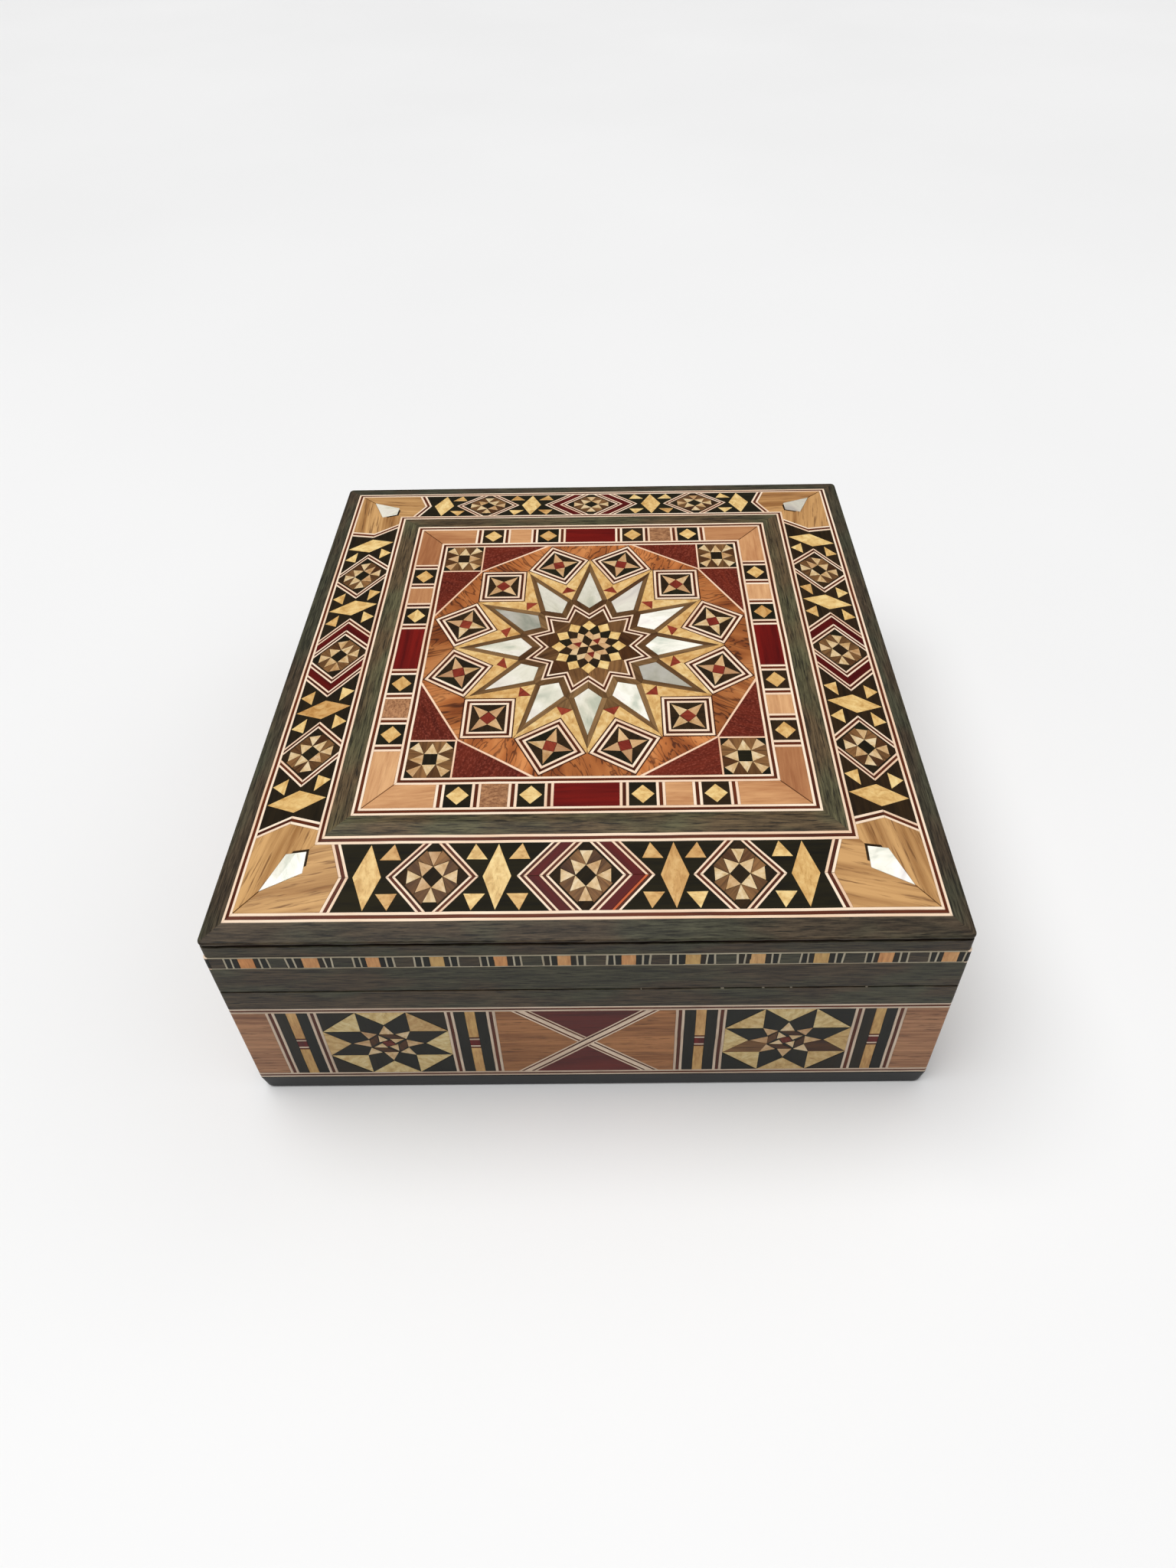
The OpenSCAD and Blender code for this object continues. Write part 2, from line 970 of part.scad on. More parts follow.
bottom_board();
base_wall([0]);  // base_front_wall
base_wall([2]);  // base_back_wall
base_wall([1, 3]);  // base_side_walls
color("#4b483c") base_rim([0]);  // base_front_rim
base_back_rim();
base_side_rims();
base_foot_strips();
base_line_strips();
band_end_blocks();
band_upright_lines();
band_black_bars();
band_yellow_bars();
band_red_studs();
band_star_tiles();
band_cross_lines();
band_cross_triangles();
base_velvet_floor();
base_velvet_walls();
underside_felt();
hinge_leaf(-1, -1);  // left_hinge_base_leaf
hinge_leaf(1, -1);  // left_hinge_lid_leaf
hinge_leaf(-1, 1);  // right_hinge_base_leaf
hinge_leaf(1, 1);  // right_hinge_lid_leaf
hinge_pins();
color("gold") leaf_screws(-1);  // base_hinge_screws
color("gold") leaf_screws(1);  // lid_hinge_screws
lid_board();
color("#4b483c") lid_rim([0]);  // lid_front_rim
lid_back_rim();
lid_side_rims();
lid_upper_walls();
lid_edge_mouldings();
lid_side_strips();
lid_border_lines();
lid_panel_lines();
walnut_frame();
border_rosette_tiles();
border_tile_frames();
border_rhombs();
border_red_chevrons();
border_black_ground();
corner_blocks();
corner_pearls();
inner_red_blocks();
inner_wood_blocks();
inner_diamond_tiles();
inner_border_lines();
olivewood_field();
panel_wine_triangles();
panel_thin_lines();
panel_corner_rosettes();
panel_diamond_tiles();
pearl_kites();
kite_surrounds();
bone_wedges();
red_darts();
zigzag_line();
core_rosette();
lid_velvet_lining();
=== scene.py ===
import math
import random

import bpy
from mathutils import Matrix, Vector, noise


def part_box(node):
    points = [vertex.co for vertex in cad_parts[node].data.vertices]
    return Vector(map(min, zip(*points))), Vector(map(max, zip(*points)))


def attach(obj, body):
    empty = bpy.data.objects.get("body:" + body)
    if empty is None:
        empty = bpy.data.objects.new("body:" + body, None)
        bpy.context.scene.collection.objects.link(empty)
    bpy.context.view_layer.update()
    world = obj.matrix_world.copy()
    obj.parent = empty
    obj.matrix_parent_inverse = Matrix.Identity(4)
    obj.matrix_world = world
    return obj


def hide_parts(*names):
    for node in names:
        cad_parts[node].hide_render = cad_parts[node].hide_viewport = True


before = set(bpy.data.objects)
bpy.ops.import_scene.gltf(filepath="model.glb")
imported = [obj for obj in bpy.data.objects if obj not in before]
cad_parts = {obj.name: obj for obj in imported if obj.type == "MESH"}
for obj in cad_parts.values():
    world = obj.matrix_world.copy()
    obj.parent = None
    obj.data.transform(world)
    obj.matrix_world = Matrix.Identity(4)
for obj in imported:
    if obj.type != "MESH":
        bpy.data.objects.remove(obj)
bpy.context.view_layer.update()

# Looks of the inlaid wooden box. Drawings are in millimetres and in the part's frame: the
# front faces -Y, and what is drawn on the front side (k = 0) is turned to the others (k = 1, 2, 3).

MM = 0.001
rng = random.Random(31)


# ---- Camera ----

CAMERA_AT = (6.2, -178.8, 240.5)
CAMERA_LOOKS = (-0.0094, 0.7941, -0.6077)
CAMERA_UP = (0.0136, 0.6078, 0.7940)
CAMERA_LENS = 23.02
CAMERA_SHIFT = (-0.0094, -0.1666)


def make_camera():
    data = bpy.data.cameras.new("camera")
    data.lens = CAMERA_LENS
    data.sensor_width = 36
    data.shift_x, data.shift_y = CAMERA_SHIFT
    data.clip_start = 0.01
    camera = bpy.data.objects.new("camera", data)
    bpy.context.scene.collection.objects.link(camera)
    back = -Vector(CAMERA_LOOKS).normalized()
    right = Vector(CAMERA_UP).cross(back).normalized()
    up = back.cross(right)
    turn = Matrix((right, up, back)).transposed().to_4x4()
    camera.matrix_world = Matrix.Translation(Vector(CAMERA_AT) * MM) @ turn
    bpy.context.scene.camera = camera


make_camera()


# ---- Sizes, read from the frame, in millimetres ----

def high(node, axis=0):
    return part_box(node)[1][axis] / MM


def low(node, axis=0):
    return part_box(node)[0][axis] / MM


HALF = high("lid_edge_mouldings")
F1 = high("lid_border_lines")
F2 = high("corner_blocks")
F4 = high("walnut_frame")
F5 = high("lid_panel_lines")
F6 = high("inner_red_blocks")
PANEL = high("olivewood_field")
LINE = F1 - F2
F3 = F4 + LINE
F7 = PANEL + LINE
TOP = high("olivewood_field", 2)
SLOPE = 0.2
FLAT = 0.681 * HALF
BORDER_MID = (F2 + F3) / 2
BORDER_HALF = (F2 - F3) / 2
INSIDE = high("base_velvet_walls")
CORE = high("base_front_wall")

BASE_TOP = high("base_front_rim", 2)
RIM_Z = low("base_front_rim", 2)
BAND_Z = low("band_star_tiles", 2)
BAND_TOP = high("band_star_tiles", 2)
BAND_MID = (BAND_Z + BAND_TOP) / 2
BAND_H = BAND_TOP - BAND_Z
FOOT_H = high("base_foot_strips", 2)
LID_LOW = low("lid_front_rim", 2)
STRIP_Z = low("lid_side_strips", 2)
EDGE_Z = high("lid_side_strips", 2)


def lid_height(x, y):
    return TOP - SLOPE * max(0.0, max(abs(x), abs(y)) - FLAT)


# ---- Plane geometry ----

def polar(r, degrees):
    a = math.radians(degrees)
    return (r * math.cos(a), r * math.sin(a))


def turned(points, degrees):
    a = math.radians(degrees)
    c, s = math.cos(a), math.sin(a)
    return [(x * c - y * s, x * s + y * c) for x, y in points]


def moved(points, dx, dy):
    return [(x + dx, y + dy) for x, y in points]


def flipped(points):
    return [(x, -y) for x, y in points]


def box_outline(x0, x1, y0, y1):
    return [(x0, y0), (x1, y0), (x1, y1), (x0, y1)]


def edges(points):
    return zip(points, points[1:] + points[:1])


def signed_area(points):
    return sum(a[0] * b[1] - b[0] * a[1] for a, b in edges(points)) / 2


def clipped(points, nx, ny, limit):
    """The part of an outline where nx * x + ny * y is at most limit."""
    out = []
    for a, b in edges(points):
        da = nx * a[0] + ny * a[1] - limit
        db = nx * b[0] + ny * b[1] - limit
        if da <= 0:
            out.append(a)
        if da * db < 0:
            out.append(between(a, b, da / (da - db)))
    return out


def cut_to_band(points, half):
    return clipped(clipped(points, 0, 1, half), 0, -1, half)


def between(a, b, t):
    return (a[0] + (b[0] - a[0]) * t, a[1] + (b[1] - a[1]) * t)


def straight(points):
    """Direction of an outline's first edge, in degrees."""
    return math.degrees(math.atan2(points[1][1] - points[0][1], points[1][0] - points[0][0]))


def subdivided(points, longest):
    out = []
    for a, b in edges(points):
        n = max(1, math.ceil(math.dist(a, b) / longest))
        out += [between(a, b, i / n) for i in range(n)]
    return out


def inset(points, g):
    """A counter-clockwise outline moved inward by g, with mitred corners."""
    out = []
    for a, b, c in zip(points[-1:] + points, points, points[1:] + points[:1]):
        l1, l2 = math.dist(a, b) or 1e-9, math.dist(b, c) or 1e-9
        n1 = ((a[1] - b[1]) / l1, (b[0] - a[0]) / l1)
        n2 = ((b[1] - c[1]) / l2, (c[0] - b[0]) / l2)
        k = g / max(1 + n1[0] * n2[0] + n1[1] * n2[1], 0.12)
        out.append((b[0] + (n1[0] + n2[0]) * k, b[1] + (n1[1] + n2[1]) * k))
    return out


# ---- Mesh pieces ----

class Piece:
    """Vertices, faces and the two attributes that the materials read: grain and tint."""

    def __init__(self):
        self.verts, self.faces, self.grain, self.tint = [], [], [], []

    def add(self, vert, grain=(0, 0, 0), tint=0.5):
        self.verts.append(vert)
        self.grain.append(grain)
        self.tint.append(tint)

    def close(self, n, rings):
        """Faces of the closed tube that the last rings of n vertices form."""
        end = len(self.verts)
        first = end - n * rings
        for start in range(first, end - n, n):
            for i in range(n):
                a, b = start + i, start + (i + 1) % n
                self.faces.append((a, b, b + n, a + n))
        self.faces.append(tuple(range(end - n, end)))
        self.faces.append(tuple(reversed(range(first, first + n))))

    def build(self, name, material, body, replaces=(), smooth=False):
        made, slot = MATERIALS[material]
        mesh = bpy.data.meshes.new(name)
        mesh.from_pydata([Vector(v) * MM for v in self.verts], [], self.faces)
        grain = mesh.attributes.new("grain", "FLOAT_VECTOR", "POINT")
        grain.data.foreach_set("vector", [c for g in self.grain for c in g])
        tint = mesh.attributes.new("tint", "FLOAT", "POINT")
        tint.data.foreach_set("value", self.tint)
        mesh.materials.append(made)
        mesh.polygons.foreach_set("use_smooth", [smooth] * len(mesh.polygons))
        mesh.update()
        obj = bpy.data.objects.new(name, mesh)
        bpy.context.scene.collection.objects.link(obj)
        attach(obj, body)
        if replaces:
            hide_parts(*replaces)
        return obj


TILE_GAP = 0.018
TILE_EDGE = 0.05
TILE_EDGE_DROP = 0.035
TILE_DEPTH = 0.6
TILT = 0.003
TILT_LIFT = 0.012
TILT_POINTS = 60
EDGE_STEP = 3.0
WOBBLE = 0.07
WOBBLE_SIZE = 9.0
WOBBLE_APART = (31.7, 12.3, 5.1)
SPIN = 9.0
TINT_SPREAD = 0.06
GRAIN_SPAN = 90
PLIES = (0.32, 0.36, 0.32)
PLY_PARTS = (".light", ".dark")


class Inlay:
    """Flat tiles drawn on one surface, gathered into sets that each become one piece."""

    def __init__(self, place, seed, sets):
        self.place, self.seed, self.sets = place, seed, sets

    def wobbled(self, p):
        q = Vector((p[0] / WOBBLE_SIZE, p[1] / WOBBLE_SIZE, self.seed))
        dx, dy = noise.noise(q), noise.noise(q + Vector(WOBBLE_APART))
        return (p[0] + WOBBLE * dx, p[1] + WOBBLE * dy)

    def tile(self, name, points, grain=0.0, tint=None, drop=0.0, jitter=0.0):
        """One tile whose grain runs in the direction grain, sunk by drop and set askew by jitter."""
        if len(points) < 3:
            return
        if signed_area(points) < 0:
            points = points[::-1]
        cx = sum(p[0] for p in points) / len(points)
        cy = sum(p[1] for p in points) / len(points)
        if jitter:
            spin = rng.uniform(-SPIN, SPIN) * jitter
            shift = (rng.uniform(-jitter, jitter), rng.uniform(-jitter, jitter))
            points = moved(turned(moved(points, -cx, -cy), spin), cx + shift[0], cy + shift[1])
        outline = [self.wobbled(p) for p in subdivided(points, EDGE_STEP)]
        piece = self.sets.setdefault(name, Piece())
        tilt = (rng.uniform(-TILT, TILT), rng.uniform(-TILT, TILT))
        offset = [rng.uniform(0, GRAIN_SPAN) for _ in range(3)]
        tone = rng.random() if tint is None else tint + rng.uniform(-TINT_SPREAD, TINT_SPREAD)
        tone = min(max(tone, 0), 1)
        if len(outline) >= TILT_POINTS:
            tilt = (0.0, 0.0)
        c, s = polar(1, grain)
        foot = inset(outline, TILE_GAP)
        face = inset(outline, TILE_GAP + TILE_EDGE)
        for ring, h in ((foot, -TILE_DEPTH), (foot, -TILE_EDGE_DROP), (face, 0.0)):
            for x, y in ring:
                dx, dy = x - cx, y - cy
                lift = max(min(dx * tilt[0] + dy * tilt[1], TILT_LIFT), -TILT_LIFT)
                grain_at = (dx * c + dy * s + offset[0], dy * c - dx * s + offset[1], h + offset[2])
                piece.add(self.place(x, y, h - drop + lift), grain_at, tone)
        piece.close(len(outline), 3)

    def strip(self, name, points, grain, tints=(0.5, 0.5)):
        """A line of light, dark and light plies in a four-sided outline, from the edge between
        its first two points to the edge between the others."""
        a, b, c, d = points
        t0 = 0.0
        for i, ply in enumerate(PLIES):
            t1 = t0 + ply
            quad = [between(a, d, t0), between(b, c, t0), between(b, c, t1), between(a, d, t1)]
            self.tile(name + PLY_PARTS[i % 2], quad, grain, tints[i % 2])
            t0 = t1

    def pen(self, angle, dx=0.0, dy=0.0):
        """A function that draws tiles moved by (dx, dy) and then turned by angle."""
        def draw(name, points, grain=0.0, tint=None, drop=0.0, jitter=0.0):
            self.tile(name, turned(moved(points, dx, dy), angle), grain + angle, tint, drop, jitter)
        return draw


PIN_Y = (low("hinge_pins", 1) + high("hinge_pins", 1)) / 2
BACK_SLOPE = math.tan(math.radians(50))
CORNER_R = 0.6
CORNER_ARC = (225, 236.25, 247.5, 258.75, 270)
RAIL_STEP = 2.5
FOOT_ROUND = 2.6
WORN_NEAR = 0.25
WORN_DEPTH = 1.5


def rail_path(d, corner, x_from, x_to, shares):
    rc = max(corner - (HALF - d), 0.06)
    c = d - rc
    left = [(px - c, py - c) for px, py in (polar(rc, a) for a in CORNER_ARC)]
    right = [(-x, y) for x, y in reversed(left)]
    start = left if x_from is None else [(x_from, -d)]
    end = right if x_to is None else [(x_to, -d)]
    return start + [between(start[-1], end[0], t) for t in shares] + end


def ragged(x, y, level):
    wave = noise.noise(Vector((x * 0.35, y * 0.35, level)))
    return wave + 0.6 * noise.noise(Vector((x * 1.1, y * 1.1, level + 7)))


def add_rail(piece, k, profile, corner=CORNER_R, x_from=None, x_to=None, tint=None, worn=(),
             foot=0.0, back=None):
    """A mitred rail of side k: a closed (distance, height) profile run along the side. worn is a
    height whose edge is uneven, and by how much; foot rounds the corners off downward; back is
    the height and the way of the slope that is cut behind the hinge pins."""
    length = (HALF if x_to is None else x_to) - (-HALF if x_from is None else x_from)
    spans = max(1, math.ceil(length / RAIL_STEP))
    shares = [i / spans for i in range(1, spans)]
    if back:
        share = 0.5 + PIN_Y / (2 * (HALF - corner))
        shares = sorted(shares + [share if k == 1 else 1 - share])
    paths = [rail_path(d, corner + foot * max(0.0, 1 - z / FOOT_ROUND) ** 2, x_from, x_to, shares)
             for d, z in profile]
    offset = [rng.uniform(0, GRAIN_SPAN) for _ in range(3)]
    tone = rng.random() if tint is None else tint
    for places in zip(*paths):
        for (x, y), (d, z) in zip(places, profile):
            px, py = turned([(x, y)], 90 * k)[0]
            if worn and abs(z - worn[0]) < WORN_NEAR and d > HALF - WORN_DEPTH:
                z += worn[1] * ragged(px, py, worn[0])
            if back and py > PIN_Y:
                level, way = back
                limit = level + way * (py - PIN_Y) * BACK_SLOPE
                z = max(z, limit) if way > 0 else min(z, limit)
            piece.add((px, py, z), (x + offset[0], d + offset[1], z + offset[2]), tone)
    piece.close(len(profile), len(paths[0]))


def eased(profile, r, only=None):
    """A profile with its corners, or only some of them, cut off by small rounds of radius r."""
    out = []
    for i, p in enumerate(profile):
        if only is not None and i not in only:
            out.append(p)
            continue
        a, b = profile[i - 1], profile[(i + 1) % len(profile)]
        ta = between(p, a, min(r / math.dist(p, a), 0.45))
        tb = between(p, b, min(r / math.dist(p, b), 0.45))
        for t in (0, 1 / 3, 2 / 3, 1):
            out.append(between(between(ta, p, t), between(p, tb, t), t))
    return out


def slab(d0, d1, z0, z1):
    """Profile of a plain rail, listed so that its faces look outward."""
    return [(d0, z0), (d0, z1), (d1, z1), (d1, z0)]


# ---- Materials ----

def linear(colour):
    """A grey level, an sRGB triple from 0 to 255, or a linear colour, as a linear colour."""
    if not hasattr(colour, "__len__"):
        return (colour, colour, colour, 1.0)
    if len(colour) == 4:
        return colour
    parts = (c / 255 for c in colour)
    return tuple(c / 12.92 if c < 0.04 else ((c + 0.055) / 1.055) ** 2.4 for c in parts) + (1.0,)


class Shader:
    """Builds one procedural material. It follows the tiles' grain and tint or, when board is an
    angle, the piece's own space in millimetres, turned by that angle."""

    def __init__(self, name, roughness, coat=0.0, board=None, **uniform):
        self.board = board
        self.material = bpy.data.materials.new(name)
        self.material.use_nodes = True
        self.tree = self.material.node_tree
        self.bsdf = self.tree.nodes["Principled BSDF"]
        uniform = {"Coat_Roughness": 0.18, "Roughness": roughness, "Coat_Weight": coat, **uniform}
        for key, value in uniform.items():
            self.bsdf.inputs[key.replace("_", " ")].default_value = value

    def node(self, kind, inputs=None, **settings):
        made = self.tree.nodes.new(kind)
        for key, value in settings.items():
            setattr(made, key, value)
        for key, value in (inputs or {}).items():
            self.feed(made.inputs[key], value)
        return made

    def feed(self, socket, value):
        if isinstance(value, bpy.types.NodeSocket):
            self.tree.links.new(value, socket)
        elif socket.type == "RGBA":
            socket.default_value = linear(value)
        else:
            socket.default_value = value

    def mapped(self, vector, scale, turn=0.0):
        settings = {"Vector": vector, "Scale": scale, "Rotation": (0, 0, turn)}
        return self.node("ShaderNodeMapping", settings).outputs[0]

    def grain(self):
        if self.board is None:
            return self.node("ShaderNodeAttribute", attribute_name="grain").outputs["Vector"]
        place = self.node("ShaderNodeTexCoord").outputs["Object"]
        return self.mapped(place, (1 / MM,) * 3, self.board)

    def noise(self, stretch, scale, detail, rough, distortion=0.0):
        return self.node("ShaderNodeTexNoise", {
            "Vector": self.mapped(self.grain(), stretch), "Scale": scale, "Detail": detail,
            "Roughness": rough, "Distortion": distortion,
        }).outputs["Fac"]

    def math(self, operation, a, b=0.0):
        return self.node("ShaderNodeMath", {0: a, 1: b}, operation=operation).outputs[0]

    def times(self, a, b):
        return self.math("MULTIPLY", a, b)

    def ramp(self, factor, *stops):
        made = self.node("ShaderNodeValToRGB", {"Fac": factor})
        elements = made.color_ramp.elements
        while len(elements) < len(stops):
            elements.new(0.5)
        for element, (at, colour) in zip(elements, stops):
            element.position = at
            element.color = linear(colour)
        return made.outputs["Color"]

    def mix(self, factor, a, b, blend="MIX"):
        inputs = {"Factor": factor, 6: a, 7: b}
        return self.node("ShaderNodeMix", inputs, data_type="RGBA", blend_type=blend).outputs[2]

    def toned(self, body, *stops):
        """A colour times the tone that each tile's tint gives."""
        tint = 0.5
        if self.board is None:
            tint = self.node("ShaderNodeAttribute", attribute_name="tint").outputs["Fac"]
        return self.mix(1.0, body, self.ramp(tint, *stops), "MULTIPLY")

    def colour(self, value):
        self.feed(self.bsdf.inputs["Base Color"], value)

    def roughness(self, factor, low_value, high_value):
        inputs = {"Value": factor, "To Min": low_value, "To Max": high_value}
        self.feed(self.bsdf.inputs["Roughness"], self.node("ShaderNodeMapRange", inputs).outputs[0])

    def bump(self, height, distance, strength):
        inputs = {"Height": height, "Distance": distance * MM, "Strength": strength}
        self.feed(self.bsdf.inputs["Normal"], self.node("ShaderNodeBump", inputs).outputs["Normal"])


def wood(name, slot, pale, deep, fibre, along, streaks=0.5, pores=0.5, pore_colour=None,
         tones=((0, 1.0), (1, 1.0)), roughness=0.5, coat=0.06, speckled=False, dashes=1.7, board=None):
    """A lacquered veneer: fibres and pores along the grain, and a tone of its own per tile."""
    sh = Shader(name, roughness, coat, board, Specular_IOR_Level=0.1)
    fine = sh.noise((along, 1, 1), fibre, 6, 0.62)
    broad = sh.noise((along * 0.5, 0.28, 0.28), 0.9, 3, 0.5, 0.4)
    figure = sh.math("ADD", sh.times(fine, 1 - streaks), sh.times(broad, streaks))
    body = sh.toned(sh.ramp(figure, (0.36, deep), (0.6, pale)), *tones)
    if speckled:
        pore = sh.ramp(sh.noise((0.7, 1, 1), 2.4, 2, 0.6), (0.5, 0.0), (0.64, 1.0))
    else:
        pore = sh.ramp(sh.noise((0.07, 1, 1), dashes, 3, 0.6), (0.56, 0.0), (0.68, 1.0))
    pore = sh.times(pore, pores)
    dark = pore_colour or tuple(c * 0.35 for c in linear(deep)[:3]) + (1.0,)
    sh.colour(sh.mix(pore, body, dark))
    sh.roughness(fine, roughness - 0.08, roughness + 0.12)
    sh.bump(sh.math("SUBTRACT", sh.times(fine, 0.4), pore), 0.02, 0.6)
    return sh.material, slot


def walnut(name, board=None):
    """Grey-brown walnut with fine dark dashes and patches that lean to green or brown."""
    sh = Shader(name, 0.55, 0.07, board, Specular_IOR_Level=0.12)
    fine = sh.noise((0.07, 1, 1), 2.4, 6, 0.75)
    broad = sh.noise((0.035, 0.4, 0.4), 1.0, 4, 0.55, 0.5)
    patch = sh.noise((0.05, 0.12, 0.12), 1.0, 2, 0.5)
    figure = sh.math("ADD", sh.times(fine, 0.74), sh.times(broad, 0.26))
    green = sh.ramp(figure, (0.39, (40, 39, 30)), (0.61, (94, 92, 72)))
    brown = sh.ramp(figure, (0.39, (44, 36, 28)), (0.61, (100, 85, 66)))
    body = sh.mix(sh.ramp(patch, (0.42, 0.0), (0.58, 1.0)), green, brown)
    body = sh.toned(body, (0, 0.78), (0.5, 0.95), (1, (1.36, 1.27, 1.05, 1.0)))
    pore = sh.ramp(sh.noise((0.07, 1, 1), 2.6, 3, 0.6), (0.54, 0.0), (0.66, 0.85))
    sh.colour(sh.mix(pore, body, (26, 23, 18)))
    sh.roughness(fine, 0.45, 0.7)
    sh.bump(sh.math("SUBTRACT", sh.times(fine, 0.5), pore), 0.03, 0.7)
    return sh.material, "walnut"


def olivewood():
    """Orange olivewood with dark, wandering growth lines."""
    sh = Shader("olivewood", 0.5, 0.15, Specular_IOR_Level=0.1)
    wander = sh.noise((0.07, 0.26, 0.26), 1.0, 3, 0.5, 0.8)
    rings = sh.math("SINE", sh.times(wander, 46.0))
    lines = sh.ramp(sh.math("ADD", sh.times(rings, 0.5), 0.5), (0.0, 1.0), (0.3, 0.0))
    fine = sh.noise((0.06, 1, 1), 1.5, 5, 0.6)
    broad = sh.noise((0.05, 0.16, 0.16), 1.0, 2, 0.5, 0.3)
    body = sh.ramp(broad, (0.34, (140, 74, 36)), (0.5, (190, 114, 60)), (0.66, (222, 148, 88)))
    body = sh.mix(sh.times(fine, 0.4), body, (126, 66, 34))
    strength = sh.times(lines, sh.ramp(broad, (0.4, 1.0), (0.66, 0.4)))
    sh.colour(sh.toned(sh.mix(strength, body, (82, 42, 24)), (0, 0.8), (1, 1.1)))
    sh.roughness(fine, 0.36, 0.52)
    sh.bump(fine, 0.012, 0.5)
    return sh.material, "olivewood"


def bone(name, low_tone, mid_tone, high_tone):
    """Bone: mottled, with specks and a tone per tile."""
    sh = Shader(name, 0.5, 0.15, Specular_IOR_Level=0.1)
    cloud = sh.noise((0.6, 1, 1), 0.7, 5, 0.6, 0.5)
    fleck = sh.noise((0.5, 1, 1), 2.4, 4, 0.65)
    body = sh.ramp(cloud, (0.34, low_tone), (0.5, mid_tone), (0.64, high_tone))
    body = sh.mix(sh.ramp(fleck, (0.58, 0.0), (0.72, 0.5)), body, (168, 118, 64))
    sh.colour(sh.toned(body, (0, (224, 200, 182)), (0.3, (242, 228, 214)), (0.6, (255, 250, 244)), (1, 1.0)))
    sh.roughness(fleck, 0.34, 0.52)
    sh.bump(fleck, 0.012, 0.5)
    return sh.material, "bone"


def pearl():
    """Mother-of-pearl: cloudy layers that drift from grey-green to rose, under a clear gloss."""
    sh = Shader("pearl", 0.22, 0.5, Coat_Roughness=0.08, Specular_IOR_Level=0.5)
    warp = sh.noise((0.1, 0.2, 0.2), 1.0, 3, 0.5, 1.2)
    layers = sh.math("FRACT", sh.times(warp, 5.0))
    cloud = sh.noise((0.14, 0.2, 0.2), 0.7, 4, 0.5, 0.8)
    hue = sh.ramp(cloud, (0.3, (204, 211, 198)), (0.42, (240, 240, 228)), (0.54, (255, 255, 248)),
                  (0.64, (246, 242, 238)), (0.76, (218, 216, 218)))
    band = sh.ramp(layers, (0.0, 0.94), (0.4, 1.0), (0.92, 1.0), (1.0, 0.93))
    body = sh.mix(1.0, hue, band, "MULTIPLY")
    sh.colour(sh.toned(body, (0, (172, 168, 164)), (0.3, (214, 209, 198)), (0.65, (243, 238, 228)),
                       (1, (1.12, 1.09, 1.06, 1.0))))
    sh.roughness(cloud, 0.12, 0.34)
    sh.bump(sh.math("ADD", layers, cloud), 0.02, 0.35)
    return sh.material, "pearl"


def brass():
    sh = Shader("brass", 0.3, board=0.0, Metallic=1.0)
    brushed = sh.noise((0.3, 4, 4), 1.0, 4, 0.6)
    blotch = sh.noise((1, 1, 1), 0.4, 4, 0.6)
    sh.colour(sh.ramp(blotch, (0.35, (176, 132, 60)), (0.65, (222, 182, 104))))
    sh.roughness(brushed, 0.2, 0.42)
    sh.bump(brushed, 0.01, 0.3)
    return sh.material, "brass"


def velvet():
    """Short red pile with brushed patches."""
    sh = Shader("velvet", 0.9, board=0.0, Sheen_Weight=0.8, Sheen_Roughness=0.35,
                Sheen_Tint=linear((255, 120, 130)))
    pile = sh.noise((1, 1, 1), 5.2, 3, 0.7)
    nap = sh.noise((1, 1, 1), 0.09, 3, 0.5, 0.6)
    body = sh.ramp(nap, (0.34, (104, 11, 24)), (0.66, (134, 18, 34)))
    sh.colour(sh.mix(sh.times(pile, 0.6), body, (50, 2, 10)))
    sh.bump(pile, 0.12, 0.8)
    return sh.material, "velvet"


def felt():
    sh = Shader("felt", 0.95, board=0.0, Sheen_Weight=0.3, Sheen_Roughness=0.5)
    fibres = sh.noise((1, 1, 1), 2.6, 5, 0.7, 1.5)
    blotch = sh.noise((1, 1, 1), 0.12, 3, 0.5)
    body = sh.mix(fibres, (26, 50, 38), (58, 90, 70))
    sh.colour(sh.mix(sh.times(blotch, 0.4), body, (30, 52, 40)))
    sh.bump(fibres, 0.15, 0.7)
    return sh.material, "felt"


def carcass(name, board):
    return wood(name, "carcass_wood", (206, 168, 122), (164, 122, 80), 1.0, 0.03,
                streaks=0.6, pores=0.3, roughness=0.6, coat=0.05, board=board)


